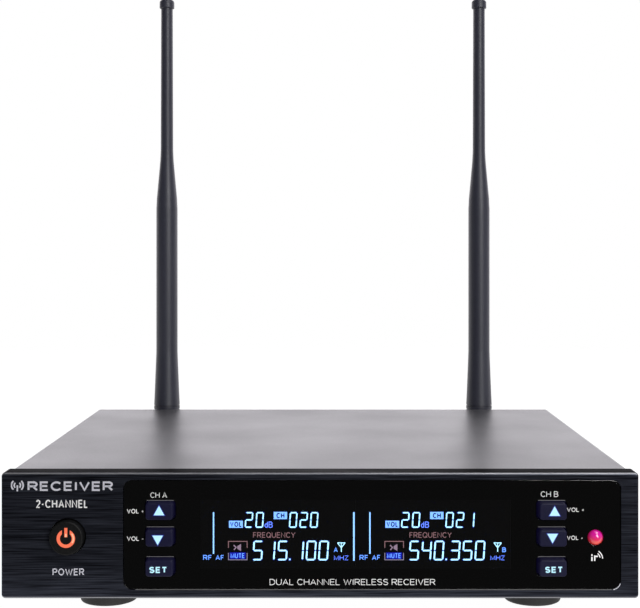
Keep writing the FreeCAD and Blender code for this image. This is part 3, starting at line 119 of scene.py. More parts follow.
def ramp(material, source, low, high, start=NOISE_LOW, end=NOISE_HIGH):
    """Two colours mixed along a noise."""
    node = add_node(material, "ShaderNodeValToRGB")
    node.color_ramp.elements[0].position = start
    node.color_ramp.elements[1].position = end
    node.color_ramp.elements[0].color = low
    node.color_ramp.elements[1].color = high
    link(material, source, node.inputs["Fac"])
    return node.outputs["Color"]


def spread(material, source, low, high):
    """A noise mapped to a range of numbers."""
    node = add_node(material, "ShaderNodeMapRange")
    node.inputs["From Min"].default_value = NOISE_LOW
    node.inputs["From Max"].default_value = NOISE_HIGH
    node.inputs["To Min"].default_value = low
    node.inputs["To Max"].default_value = high
    link(material, source, node.inputs["Value"])
    return node.outputs["Result"]


def bump(material, source, height):
    """A bump of a height in metres."""
    node = add_node(material, "ShaderNodeBump")
    node.inputs["Strength"].default_value = 1.0
    node.inputs["Distance"].default_value = height
    link(material, source, node.inputs["Height"])
    return node.outputs["Normal"]


PATCH_SCALE = 25                  # cycles per metre
PATCH_ROUGHNESS = (-0.02, 0.03)   # what the patches add to the roughness


def textured(name, low, high, roughness, scale, height=0.0, **sockets):
    """A surface whose colour and roughness vary with a fine grain; its roughness also varies in patches.

    It takes the grain's two colours, its range of roughness, its cycles per metre and its height.
    """
    material = new_material(name, **sockets)
    shader = material.node_tree.nodes["Principled BSDF"]
    grain = noise(material, scale)
    link(material, ramp(material, grain, low, high), shader.inputs["Base Color"])
    patches = noise(material, PATCH_SCALE, detail=2.0)
    both = add_node(material, "ShaderNodeMath", operation="ADD")
    link(material, spread(material, grain, *roughness), both.inputs[0])
    link(material, spread(material, patches, *PATCH_ROUGHNESS), both.inputs[1])
    link(material, both.outputs[0], shader.inputs["Roughness"])
    if height:
        link(material, bump(material, grain, height), shader.inputs["Normal"])
    return material


UNLIT_COLOUR = grey(0.01)
LIT_ROUGHNESS = 0.4


def lit(name, colour, strength):
    """A light-giving surface, such as a display segment."""
    return new_material(name, Base_Color=UNLIT_COLOUR, Roughness=LIT_ROUGHNESS, Emission_Color=colour,
                        Emission_Strength=strength)


def smooth_range(tree, source, start, end, low, high):
    """A value eased from low to high while the source goes from start to end."""
    node = tree.nodes.new("ShaderNodeMapRange")
    node.interpolation_type = "SMOOTHSTEP"
    node.inputs["From Min"].default_value = start
    node.inputs["From Max"].default_value = end
    node.inputs["To Min"].default_value = low
    node.inputs["To Max"].default_value = high
    tree.links.new(source, node.inputs["Value"])
    return node.outputs["Result"]


def product(tree, first, second):
    node = tree.nodes.new("ShaderNodeMath")
    node.operation = "MULTIPLY"
    tree.links.new(first, node.inputs[0])
    tree.links.new(second, node.inputs[1])
    return node.outputs[0]


def blend(material, amount, first, second):
    """One colour turning into another as amount goes from 0 to 1."""
    node = add_node(material, "ShaderNodeMix", data_type="RGBA")
    link(material, amount, node.inputs[0])
    for socket, colour in ((node.inputs[6], first), (node.inputs[7], second)):
        if isinstance(colour, tuple):
            socket.default_value = colour
        else:
            link(material, colour, socket)
    return node.outputs[2]


FINE_STREAKS = (60, 900, 3200)        # cycles per metre along X, Y and Z
BROAD_STREAKS = (25, 60, 700)
FINE_SHARE = 0.75                     # the fine streaks' part of the mix
STREAK_CONTRAST = (0.36, 0.66)        # where in the mix the darker and the lighter colour are reached
STREAK_HEIGHT = 12 * MICRON
PAINTED_EDGE_HIGHLIGHT = rgb(0.3, 0.3, 0.32)      # painted highlight on the panel's rounded edges, brighter than its face
PAINTED_TOP_SHADE = rgb(0.01, 0.01, 0.013)  # painted shade on its faces that look straight up
PAINTED_POCKET_SHADE = grey(0.001)            # painted shade on the floor behind the window, so that no streaks show through it
POCKET_DEPTHS = (1.2 * MM, 1.3 * MM)  # behind the panel's face, where that painted shade starts and is complete


def streaks(material):
    """Fine streaks along X, and these mixed with broad ones."""
    fine = noise(material, 1.0, FINE_STREAKS, 4.0)
    broad = noise(material, 1.0, BROAD_STREAKS, 2.0)
    broad_part = add_node(material, "ShaderNodeMath", operation="MULTIPLY")
    broad_part.inputs[1].default_value = 1 - FINE_SHARE
    link(material, broad, broad_part.inputs[0])
    mixed = add_node(material, "ShaderNodeMath", operation="MULTIPLY_ADD")
    mixed.inputs[1].default_value = FINE_SHARE
    link(material, fine, mixed.inputs[0])
    link(material, broad_part.outputs[0], mixed.inputs[2])
    return fine, mixed.outputs[0]


def brushed(name, low, high, roughness, metallic):
    """Black brushed metal with long streaks along X, painted highlights on its rounded edges above and below,
    and painted shade on its faces that look straight up and on the floor behind the window.
    """
    material = new_material(name, Metallic=metallic, Anisotropic=0.6, Specular_Tint=rgb(0.05, 0.05, 0.06))
    tree = material.node_tree
    shader = tree.nodes["Principled BSDF"]
    fine, mixed = streaks(material)
    normal = coordinates(material, "Normal")
    depth = coordinates(material, "Object")["Y"]
    lower_edge_highlight = smooth_range(tree, normal["Z"], -0.1, -0.55, 0.0, 1.0)
    upper_edge_highlight = smooth_range(tree, normal["Z"], 0.2, 0.6, 0.0, 1.0)
    level = smooth_range(tree, normal["Z"], 0.86, 0.98, 0.0, 1.0)
    pocket_shade_facing = smooth_range(tree, normal["Y"], -0.9, -0.98, 0.0, 1.0)
    pocket_shade_depth = smooth_range(tree, depth, FACE_Y + POCKET_DEPTHS[0], FACE_Y + POCKET_DEPTHS[1], 0.0, 1.0)
    colour = ramp(material, mixed, low, high, *STREAK_CONTRAST)
    # painted highlights on the rounded edges below and above, then painted shade on the top faces and on the
    # floor behind the window
    colour = blend(material, lower_edge_highlight, colour, PAINTED_EDGE_HIGHLIGHT)
    colour = blend(material, upper_edge_highlight, colour, PAINTED_EDGE_HIGHLIGHT)
    colour = blend(material, level, colour, PAINTED_TOP_SHADE)
    colour = blend(material, product(tree, pocket_shade_depth, pocket_shade_facing), colour, PAINTED_POCKET_SHADE)
    link(material, colour, shader.inputs["Base Color"])
    link(material, spread(material, fine, *roughness), shader.inputs["Roughness"])
    link(material, bump(material, fine, STREAK_HEIGHT), shader.inputs["Normal"])
    return material


DOME_HIGHLIGHT_BLEND = 1.6 * MM    # from the dome's middle up and down, where the painted magenta highlight fades in


def lamp_dome():
    """Red lamp plastic with a painted highlight that turns it magenta towards its top; this colour takes the
    place of the grain's.
    """
    material = textured("dome_plastic", rgb(0.5, 0.01, 0.02), rgb(0.6, 0.02, 0.05), (0.06, 0.12), 260,
                        Emission_Color=rgb(0.8, 0.01, 0.06), Emission_Strength=0.25, Coat_Weight=1.0)
    low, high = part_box("ir_lamp")
    middle = (low.z + high.z) / 2
    height = coordinates(material, "Object")["Z"]
    rise = smooth_range(material.node_tree, height, middle - DOME_HIGHLIGHT_BLEND, middle + DOME_HIGHLIGHT_BLEND, 0.0, 1.0)
    # painted highlight: red below, magenta towards the top
    colour = blend(material, rise, rgb(0.75, 0.05, 0.01), rgb(0.55, 0.01, 0.35))
    link(material, colour, material.node_tree.nodes["Principled BSDF"].inputs["Base Color"])
    return material


def front_materials():
    """Panel, window, displays, keys, button and infrared lamp."""
    return {
        "panel": brushed("brushed_black", linear(27, 28, 35), linear(70, 73, 84), (0.32, 0.46), 0.9),
        "window": new_material("smoked_acrylic", Base_Color=rgb(0.2, 0.2, 0.22), Roughness=0.0, IOR=1.49,
                               Transmission_Weight=1.0),
        "glass": textured("display_glass", rgb(0.001, 0.002, 0.006), rgb(0.0015, 0.003, 0.009),
                          (0.08, 0.12), 200),
        "light_box": textured("light_box", grey(0.6), grey(0.7), (0.5, 0.6), 800),
        "key": textured("key_plastic", rgb(0.004, 0.0045, 0.014), rgb(0.007, 0.0075, 0.02), (0.42, 0.5),
                        1800, height=4 * MICRON, Emission_Color=rgb(0.08, 0.06, 0.4),
                        Emission_Strength=0.03, IOR=1.25),
        "button": textured("button_plastic", grey(0.004), grey(0.007), (0.46, 0.54), 1800,
                           height=4 * MICRON, IOR=1.25),
        "symbol": lit("symbol_light", linear(255, 118, 82), 1.0),
        "symbol_bright": lit("symbol_bright_light", linear(255, 190, 150), 1.0),
        "dome": lamp_dome(),
    }


def case_materials():
    """Boards, black mouldings and key lamps, then the painted and rubber parts of the case."""
    return {
        "board": textured("solder_mask", rgb(0.008, 0.07, 0.03), rgb(0.012, 0.1, 0.045), (0.3, 0.4), 700),
        "black_part": textured("black_moulding", grey(0.006), grey(0.012), (0.4, 0.5), 1500,
                               height=8 * MICRON),
        "lamp": lit("key_lamp", rgb(0.5, 0.7, 1.0), 1.5),
        "cover": textured("powder_coat", rgb(0.022, 0.021, 0.026), rgb(0.034, 0.033, 0.039), (0.36, 0.42),
                          2600, height=10 * MICRON, IOR=1.7),
        "tray": textured("tray_coat", grey(0.014), grey(0.024), (0.36, 0.44), 2400, height=14 * MICRON),
        "rear": textured("rear_paint", rgb(0.010, 0.010, 0.011), rgb(0.016, 0.016, 0.017), (0.36, 0.44),
                         1900, height=8 * MICRON),
        "foot": textured("foot_rubber", grey(0.010), grey(0.020), (0.6, 0.72), 1600, height=20 * MICRON),
    }


def metal_materials():
    """Screws, sockets and contacts."""
    return {
        "black_screw": textured("black_oxide", grey(0.02), grey(0.045), (0.3, 0.42), 1200, Metallic=1.0),
        "zinc": textured("zinc_plate", rgb(0.45, 0.44, 0.40), rgb(0.6, 0.59, 0.55), (0.25, 0.4), 900,
                         Metallic=1.0),
        "nickel": textured("satin_nickel", rgb(0.50, 0.49, 0.46), rgb(0.6, 0.59, 0.56), (0.18, 0.28),
                           1400, Metallic=1.0),
        "gold": textured("gold_plate", rgb(0.75, 0.5, 0.2), rgb(0.85, 0.6, 0.26), (0.16, 0.24), 1000,
                         Metallic=1.0),
    }


def other_materials():
    """Antennas, then the parts on the main board."""
    return {
        "knuckle": textured("knuckle_moulding", rgb(0.018, 0.019, 0.029), rgb(0.024, 0.025, 0.038),
                            (0.4, 0.5), 1500, height=8 * MICRON),
        "whip": textured("antenna_rubber", rgb(0.02, 0.021, 0.033), rgb(0.027, 0.028, 0.043),
                         (0.42, 0.5), 1400, height=6 * MICRON),
        "tin": textured("tinned_sheet", rgb(0.5, 0.5, 0.48), rgb(0.62, 0.62, 0.6), (0.2, 0.35), 300,
                        Metallic=1.0),
        "anodised": textured("black_anodised", grey(0.02), grey(0.03), (0.35, 0.45), 900, Metallic=0.8),
        "sleeve": textured("capacitor_sleeve", rgb(0.01, 0.02, 0.06), rgb(0.014, 0.026, 0.08), (0.2, 0.3),
                           600),
        "ribbon": textured("ribbon_plastic", grey(0.3), grey(0.4), (0.4, 0.5), 500),
    }


INK_GRAIN = 3000


def ink_materials():
    """Printing, each ink with some light of its own, and the ink of the painted highlights along the window's
    edges.
    """
    def ink(name, low, high, roughness, colour, strength):
        return textured(name, low, high, roughness, INK_GRAIN, Emission_Color=colour,
                        Emission_Strength=strength)

    return {
        "white_ink": ink("white_ink", rgb(0.5, 0.5, 0.56), rgb(0.6, 0.6, 0.66), (0.5, 0.6),
                         rgb(0.9, 0.9, 1.0), 0.05),
        "bright_ink": ink("bright_ink", grey(0.7), grey(0.8), (0.5, 0.6), grey(1.0), 0.08),
        # this ink paints highlights on the window's edges; it is not printing
        "rim_ink": ink("rim_ink", grey(0.08), grey(0.12), (0.4, 0.5), rgb(1.0, 0.95, 0.95), 0.05),
        "lens_ink": ink("lens_ink", grey(0.86), grey(0.92), (0.5, 0.6), grey(1.0), 0.1),
        "dark_ink": ink("dark_ink", rgb(0.0, 0.002, 0.02), rgb(0.0, 0.003, 0.03), (0.5, 0.6),
                        linear(20, 40, 150), 1.1),
    }


WINDOW_STRENGTH = 9.0    # makes up for what the tinted window takes from the displays' light
DISPLAY_COLOURS = {
    "digit": ("digit_light", (176, 238, 255)), "bar": ("bar_light", (140, 196, 255)),
    "badge": ("badge_light", (118, 170, 252)), "small_blue": ("small_blue_light", (96, 148, 240)),
    "violet": ("violet_light", (92, 124, 240)), "dim": ("dim_segment", (112, 84, 84)),
    "dusk": ("dusk_segment", (110, 104, 120)), "pale": ("pale_segment", (118, 100, 112)),
    "deep_blue": ("deep_blue_light", (8, 14, 128)), "halo": ("segment_halo", (8, 30, 120)),
}


def light_materials():
    """Lit parts of the displays, then the keys' legends."""
    made = {}
    for key, (name, colour) in DISPLAY_COLOURS.items():
        made[key] = lit(name, linear(*colour), WINDOW_STRENGTH)
    made["legend"] = lit("legend_light", linear(186, 236, 255), 1.1)
    made["legend_halo"] = lit("legend_halo", linear(24, 40, 160), 1.0)
    return made


paint = {}    # every material, by the name that the pieces below ask for
for make in (front_materials, case_materials, metal_materials, other_materials, ink_materials,
             light_materials):
    paint.update(make())

NODE_MATERIALS = {
    "front_panel": "panel", "display_lens": "window", "ir_lamp": "dome", "lcd_glasses": "glass",
    "lcd_backlights": "light_box", "display_board": "board", "key_switches": "black_part",
    "key_lamps": "lamp",
    "power_switch": "black_part", "top_cover": "cover", "bottom_tray": "tray", "feet": "foot",
    "foot_screws": "zinc", "cover_screws": "black_screw", "rear_panel_screws": "black_screw",
    "front_panel_screws": "zinc", "rear_panel": "rear", "xlr_shells": "nickel", "xlr_inserts": "black_part",
    "xlr_contacts": "gold", "xlr_screws": "black_screw", "mix_jack_body": "black_part",
    "mix_jack_nut": "nickel",
    "mix_jack_lugs": "gold", "dc_inlet": "black_part", "dc_inlet_contacts": "nickel",
    "antenna_bushes": "nickel", "antenna_nuts": "nickel", "board_standoffs": "zinc", "main_board": "board",
    "board_screws": "zinc", "rf_shields": "tin", "capacitors": "sleeve", "heat_sink": "anodised",
    "voltage_regulator": "black_part", "chips": "black_part", "ribbon_headers": "black_part",
    "ribbon_cable": "ribbon", "power_button": "button", "power_symbol": "symbol",
}
for channel in "ab":
    for key in ("up", "down", "set"):
        NODE_MATERIALS[f"key_{channel}_{key}"] = "key"
    NODE_MATERIALS.update({
        f"antenna_{channel}_swivel": "knuckle", f"antenna_{channel}_clip": "zinc",
        f"antenna_{channel}_hinge_pin": "nickel", f"antenna_{channel}_base": "knuckle",
        f"antenna_{channel}_sleeve": "whip", f"antenna_{channel}_cap": "whip",
        f"antenna_{channel}_core": "zinc"})


def dress_nodes():
    """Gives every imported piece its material."""
    for name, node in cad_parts.items():
        node.data.materials.clear()
        node.data.materials.append(paint[NODE_MATERIALS[name]])


# ---------------------------------------------------------------- flat marks: labels, legends, segments

FRONT = Matrix(((1, 0, 0), (0, 0, 1), (0, 1, 0))).to_4x4()      # drawn x, y -> X, Z; depth -> Y
REAR = Matrix(((-1, 0, 0), (0, 0, -1), (0, 1, 0))).to_4x4()     # the same, read from behind


PLATE_THICKNESS = 0.03 * MM
STROKE_THICKNESS = 0.02 * MM


def plate(name, outlines, material, body, y):
    """Thin plates on the front with the given outlines, whose outer faces lie in the plane at y."""
    mesh = bpy.data.meshes.new(name)
    work = bmesh.new()
    for outline in outlines:
        front = [work.verts.new((x, z, 0.0)) for x, z in outline]
        back = [work.verts.new((x, z, PLATE_THICKNESS)) for x, z in outline]
        work.faces.new(front)
        work.faces.new(back[::-1])
        for first in range(len(outline)):
            second = (first + 1) % len(outline)
            work.faces.new((front[first], front[second], back[second], back[first]))
    bmesh.ops.recalc_face_normals(work, faces=work.faces)
    bmesh.ops.triangulate(work, faces=[face for face in work.faces if len(face.verts) > 4])
    work.to_mesh(mesh)
    work.free()
    place_mark(mesh, name, material, body, y, FRONT)


def place_mark(mesh, name, material, body, y, turn):
    """Makes a mark from a mesh drawn in x and y, with its depth in z, and sets it in the plane at y."""
    piece = bpy.data.objects.new(name, mesh)
    bpy.context.scene.collection.objects.link(piece)
    mesh.transform(Matrix.Translation((0, y, 0)) @ turn)
    if turn.determinant() < 0:
        mesh.flip_normals()     # a mirrored drawing has its faces inside out
    mesh.materials.clear()
    mesh.materials.append(paint[material])
    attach(piece, body)


def bow(x, y, wide, tall, start, end, steps=10):
    """Points along part of an ellipse, from one angle to another in degrees."""
    angles = [math.radians(start + (end - start) * n / steps) for n in range(steps + 1)]
    return [(x + wide * math.cos(a), y + tall * math.sin(a)) for a in angles]


# Letters drawn with strokes, in a cell one unit wide and high: the cell's real width, then the strokes.
LETTERS = {
    "A": (0.90, [[(0, 0), (0.5, 1), (1, 0)], [(0.2, 0.33), (0.8, 0.33)]]),
    "B": (0.78, [[(0, 0.53), (0.6, 0.53)] + bow(0.6, 0.265, 0.4, 0.265, 90, -90)
                 + [(0, 0), (0, 1), (0.56, 1)] + bow(0.56, 0.765, 0.36, 0.235, 90, -90)]),
    "C": (0.86, [bow(0.54, 0.5, 0.54, 0.5, 42, 318, 20)]),
    "D": (0.84, [[(0, 0), (0, 1), (0.42, 1)] + bow(0.42, 0.5, 0.58, 0.5, 90, -90, 14) + [(0, 0)]]),
    "E": (0.70, [[(1, 1), (0, 1), (0, 0), (1, 0)], [(0, 0.52), (0.92, 0.52)]]),
    "F": (0.66, [[(1, 1), (0, 1), (0, 0)], [(0, 0.5), (0.88, 0.5)]]),
    "H": (0.84, [[(0, 0), (0, 1)], [(1, 0), (1, 1)], [(0, 0.52), (1, 0.52)]]),
    "I": (0.20, [[(0.5, 0), (0.5, 1)]]),
    "L": (0.64, [[(0, 1), (0, 0), (1, 0)]]),
    "M": (0.98, [[(0, 0), (0, 1), (0.5, 0.08), (1, 1), (1, 0)]]),
    "N": (0.84, [[(0, 0), (0, 1), (1, 0), (1, 1)]]),
    "O": (0.94, [bow(0.5, 0.5, 0.5, 0.5, 0, 360, 24)]),
    "P": (0.76, [[(0, 0), (0, 1), (0.6, 1)] + bow(0.6, 0.73, 0.4, 0.27, 90, -90) + [(0, 0.46)]]),
    "Q": (0.94, [bow(0.5, 0.5, 0.5, 0.5, 0, 360, 24), [(0.6, 0.3), (1.0, -0.04)]]),
    "R": (0.80, [[(0, 0), (0, 1), (0.6, 1)] + bow(0.6, 0.74, 0.38, 0.26, 90, -90) + [(0, 0.48)],
                 [(0.52, 0.48), (1, 0)]]),
    "S": (0.76, [bow(0.5, 0.75, 0.46, 0.25, 25, 270) + bow(0.5, 0.25, 0.5, 0.25, 90, -155)]),
    "T": (0.76, [[(0, 1), (1, 1)], [(0.5, 1), (0.5, 0)]]),
    "U": (0.84, [[(0, 1), (0, 0.4)] + bow(0.5, 0.4, 0.5, 0.4, 180, 360) + [(1, 1)]]),
    "V": (0.84, [[(0, 1), (0.5, 0), (1, 1)]]),
    "W": (1.22, [[(0, 1), (0.27, 0), (0.5, 0.92), (0.73, 0), (1, 1)]]),
    "X": (0.80, [[(0, 0), (1, 1)], [(0, 1), (1, 0)]]),
    "Y": (0.82, [[(0, 1), (0.5, 0.46), (1, 1)], [(0.5, 0.46), (0.5, 0)]]),
    "Z": (0.76, [[(0, 1), (1, 1), (0, 0), (1, 0)]]),
    "d": (0.62, [[(1, 0), (1, 1)], bow(0.5, 0.33, 0.5, 0.33, 0, 360, 16)]),
    "2": (0.66, [bow(0.5, 0.71, 0.5, 0.29, 165, -35) + [(0, 0), (1, 0)]]),
    "+": (0.56, [[(0, 0.42), (1, 0.42)], [(0.5, 0.14), (0.5, 0.7)]]),
    "-": (0.44, [[(0, 0.42), (1, 0.42)]]),
    " ": (0.26, []),
}
LETTER_GAP = 0.15       # between two letters, as a share of the unit
LONGEST_MITRE = 1.35    # how far a sharp corner may reach, as a share of half the stroke


def ribbon(work, points, stroke):
    """A flat band of even width along a line of points, with its ends cut square."""
    line = [Vector(point) for point in points]
    sides = []
    for number, point in enumerate(line):
        before = (point - line[number - 1]).normalized() if number else None
        after = (line[number + 1] - point).normalized() if number + 1 < len(line) else None
        along = ((before or after) + (after or before)).normalized()
        across = Vector((-along.y, along.x))
        reach = 1 / max(abs(along.dot(before or after)), 1 / LONGEST_MITRE)
        sides.append((point + across * stroke / 2 * reach, point - across * stroke / 2 * reach))
    rings = []
    for left, right in sides:
        rings.append([work.verts.new((*left, 0)), work.verts.new((*right, 0)),
                      work.verts.new((*right, STROKE_THICKNESS)),
                      work.verts.new((*left, STROKE_THICKNESS))])
    for first, second in zip(rings, rings[1:]):
        for corner in range(4):
            following = (corner + 1) % 4
            work.faces.new((first[corner], first[following], second[following], second[corner]))
    work.faces.new(rings[0][::-1])
    work.faces.new(rings[-1])


def strokes(name, lines, stroke, material, body, y, turn=FRONT):
    """Bands of even width along lines of points, whose outer faces lie in the plane at y."""
    mesh = bpy.data.meshes.new(name)
    work = bmesh.new()
    for points in lines:
        ribbon(work, points, stroke)
    bmesh.ops.recalc_face_normals(work, faces=work.faces)
    work.to_mesh(mesh)
    work.free()
    place_mark(mesh, name, material, body, y, turn)


def text(name, words, left, bottom, width, height, material, body, y, weight, turn=FRONT):
    """Words in stroke letters that fill a box; weight is the stroke's width over the letters' height."""
    cells = [LETTERS[sign][0] for sign in words]
    natural = sum(cells) + LETTER_GAP * (len(words) - 1)
    unit = width / natural
    stroke = weight * height
    lines = []
    x = left
    for sign, cell in zip(words, cells):
        room = cell * unit - stroke
        for points in LETTERS[sign][1]:
            lines.append([(x + stroke / 2 + u * room, bottom + stroke / 2 + v * (height - stroke))
                          for u, v in points])
        x += (cell + LETTER_GAP) * unit
    strokes(name, lines, stroke, material, body, y, turn)


def box_outline(left, bottom, width, height):
    return [(left, bottom), (left + width, bottom), (left + width, bottom + height), (left, bottom + height)]


def grown(outline, amount):
    """An outline moved outwards from its own centre, for the glow round it."""
    centre_x = sum(x for x, _ in outline) / len(outline)
    centre_z = sum(z for _, z in outline) / len(outline)
    moved = []
    for x, z in outline:
        away = Vector((x - centre_x, z - centre_z))
        away = away.normalized() * (away.length + amount)
        moved.append((centre_x + away.x, centre_z + away.y))
    return moved


# Seven-segment digits: a top, b and c right, d bottom, e and f left, g middle.
DIGIT_SEGMENTS = {"0": "abcdef", "1": "bc", "2": "abged", "3": "abgcd", "4": "fgbc", "5": "afgcd"}
SEGMENT_GAP = 0.14    # half the gap between segments, as a share of the stroke's width
DIGIT_LEAN = 0.065    # sideways shift per height
POINT_AFTER, POINT_RISE = 0.75, 0.1     # a full stop's place past its digit, and up, in millimetres
POINT_WIDTH, POINT_HEIGHT = 0.9, 0.95   # its size, as shares of the stroke's width


def segment_outline(letter, width, height, stroke):
    """One segment of an upright digit whose lower left corner is at the origin: a bar with mitred ends."""
    half, gap = stroke / 2, stroke * SEGMENT_GAP
    left, right, low, high, middle = half, width - half, half, height - half, height / 2
    ends = {
        "a": ((left, high), (right, high)), "g": ((left, middle), (right, middle)),
        "d": ((left, low), (right, low)), "f": ((left, middle), (left, high)),
        "b": ((right, middle), (right, high)), "e": ((left, low), (left, middle)),
        "c": ((right, low), (right, middle))}
    (x1, z1), (x2, z2) = ends[letter]
    if z1 == z2:
        x1, x2 = x1 + gap, x2 - gap
        return [(x1, z1), (x1 + half, z1 - half), (x2 - half, z2 - half), (x2, z2), (x2 - half, z2 + half),
                (x1 + half, z1 + half)]
    z1, z2 = z1 + gap, z2 - gap
    return [(x1, z1), (x1 + half, z1 + half), (x2 + half, z2 - half), (x2, z2), (x2 - half, z2 - half),
            (x1 - half, z1 + half)]


def digit_outlines(words, left, bottom, width, height, pitch, stroke, point_gap=0.0):
    """The lit segments of a number, leaning to the right; a full stop takes point_gap."""
    outlines = []
    x = left
    for sign in words:
        if sign == ".":
            point_left = x - pitch + width + POINT_AFTER
            outlines.append(box_outline(point_left, bottom + POINT_RISE, stroke * POINT_WIDTH,
                                        stroke * POINT_HEIGHT))
            x += point_gap
            continue
        for letter in DIGIT_SEGMENTS[sign]:
            outline = segment_outline(letter, width, height, stroke)
            outlines.append([(x + px + pz * DIGIT_LEAN, bottom + pz) for px, pz in outline])
        x += pitch
    return outlines


# ---------------------------------------------------------------- displays

DISPLAY_DEPTH = glass_low.y - 0.02 * MM   # lit shapes lie on the display glass, under the window
DISPLAY_PITCH = 52.3 * MM                 # left display to right display
LAYER_STEP = 0.04 * MM

# Everything below is in millimetres. Numbers: left, bottom, digit width, digit height, pitch, stroke.
VOLUME_PLACE = (15.05, 14.0, 2.6, 5.25, 3.58, 0.42)
CHANNEL_PLACE = (29.85, 14.0, 2.6, 5.25, 3.5, 0.42)
FREQUENCY_PLACE = (17.6, 3.1, 3.3, 6.6, 4.15, 0.5)
POINT_ROOM = 1.25                         # what the decimal point adds to the frequency's width
DIGIT_GLOW = 0.3

# Boxes: left, bottom, width, height.
LEVEL_BAR = (4.45, 5.3, 0.42, 13.9)
DIVIDING_BAR = (51.35, 3.0, 0.5, 16.2)
BADGES = ((9.85, 14.0, 4.6, 2.35), (24.8, 16.9, 4.45, 2.4))
MUTE_BAND = (10.1, 3.6, 5.3, 2.15)

# Words: name, words, left, bottom, width, height, material, layer, stroke over height. Those on a badge
# or a band lie one layer above it.
DISPLAY_WORDS = (
    ("volume_word", "VOL", 10.2, 14.3, 3.9, 1.75, "dark_ink", 2, 0.2),
    ("channel_word", "CH", 25.7, 17.2, 2.7, 1.8, "dark_ink", 2, 0.2),
    ("decibel", "dB", 21.75, 14.0, 2.7, 2.1, "violet", 1, 0.13),
    ("frequency_word", "FREQUENCY", 17.9, 10.65, 14.1, 1.85, "dim", 1, 0.12),
    ("radio_word", "RF", 1.2, 3.2, 2.9, 1.7, "small_blue", 1, 0.15),
    ("audio_word", "AF", 5.35, 3.2, 2.8, 1.7, "small_blue", 1, 0.15),
)
MUTE_WORD = ("mute_word", "MUTE", 10.4, 3.85, 4.65, 1.65, "small_blue", 2, 0.15)
MEGAHERTZ_WORD = ("megahertz", "MHZ", 44.95, 3.15, 4.8, 1.6, "violet", 1, 0.13)
CHANNEL_LETTER_LEFT = {"a": 44.9, "b": 48.9}
CHANNEL_LETTER_PLACE = (5.85, 1.3, 1.6, "small_blue", 1, 0.18)    # as above, from its bottom on

# The frame round the mute sign: its sides, and where its upper part ends and its lower part starts.
FRAME_LEFT, FRAME_RIGHT, FRAME_BOTTOM, FRAME_TOP = 9.65, 15.9, 3.3, 9.45
FRAME_UPPER_END, FRAME_LOWER_END = 7.3, 5.6
THIN_STROKE = 0.26

MAST_LEFT, MAST_WIDTH, MAST_TOP, MAST_FORK, MAST_BOTTOM = 46.1, 2.6, 8.95, 7.35, 5.95


class Display:
    """Draws on one channel's display, in millimetres from its own glass's lower left corner."""

    def __init__(self, channel):
        self.channel = channel
        self.left_edge = glass_low.x + (DISPLAY_PITCH if channel == "b" else 0.0)

    def move(self, points):
        return [(self.left_edge + x * MM, glass_low.z + z * MM) for x, z in points]

    def level(self, layer):
        return DISPLAY_DEPTH - layer * LAYER_STEP

    def plate(self, name, outlines, material, layer=1):
        plate(f"display_{self.channel}_{name}", [self.move(outline) for outline in outlines], material,
              "case", self.level(layer))

    def strokes(self, name, lines, stroke, material):
        strokes(f"display_{self.channel}_{name}", [self.move(points) for points in lines], stroke * MM,
                material, "case", self.level(1))

    def text(self, name, words, left, bottom, width, height, material, layer, weight):
        (x, z), = self.move([(left, bottom)])
        text(f"display_{self.channel}_{name}", words, x, z, width * MM, height * MM, material, "case",
             self.level(layer), weight)


def draw_numbers(display, number, frequency):
    """Volume, channel number and frequency, with a glow behind them."""
    digits = digit_outlines("20", *VOLUME_PLACE)
    digits += digit_outlines(number, *CHANNEL_PLACE)
    digits += digit_outlines(frequency, *FREQUENCY_PLACE, point_gap=POINT_ROOM)
    display.plate("halo", [grown(outline, DIGIT_GLOW) for outline in digits], "halo", 0)
    display.plate("digits", digits, "digit")


def draw_bars(display):
    """The level bar, and between the two displays a dividing bar; then the badges behind two words."""
    bars = [box_outline(*LEVEL_BAR)]
    if display.channel == "a":
        bars.append(box_outline(*DIVIDING_BAR))
    display.plate("bars", bars, "bar")
    display.plate("badges", [box_outline(*badge) for badge in BADGES], "badge")


def draw_mute_sign(display):
    """A framed loudspeaker over the word on its band."""
    upper = [(FRAME_LEFT, FRAME_UPPER_END), (FRAME_LEFT, FRAME_TOP), (FRAME_RIGHT, FRAME_TOP),
             (FRAME_RIGHT, FRAME_UPPER_END)]
    lower = [(FRAME_LEFT, FRAME_LOWER_END), (FRAME_LEFT, FRAME_BOTTOM), (FRAME_RIGHT, FRAME_BOTTOM),
             (FRAME_RIGHT, FRAME_LOWER_END)]
    display.strokes("mute_frame_top", [upper], THIN_STROKE, "dim")
    display.strokes("mute_frame_bottom", [lower], THIN_STROKE, "dusk")
    display.strokes("speaker_waves", [[(11.4, 8.2), (12.2, 7.4), (11.5, 6.6)]], 0.4, "pale")
    display.plate("speaker", [[(12.6, 7.0), (13.85, 6.25), (13.85, 8.6), (12.6, 7.85)]], "pale")
    display.plate("mute_band", [box_outline(*MUTE_BAND)], "deep_blue")
    display.text(*MUTE_WORD)


def draw_mast(display):
    """A small mast with a forked top."""
    right = MAST_LEFT + MAST_WIDTH
    centre = MAST_LEFT + MAST_WIDTH / 2
    inset = 0.05    # keeps the slanted strokes within the top one's ends
    lines = [[(MAST_LEFT, MAST_TOP), (right, MAST_TOP)],
             [(MAST_LEFT + inset, MAST_TOP), (centre, MAST_FORK)],
             [(right - inset, MAST_TOP), (centre, MAST_FORK)],
             [(centre, MAST_TOP), (centre, MAST_BOTTOM)]]
    display.strokes("mast", lines, THIN_STROKE, "digit")


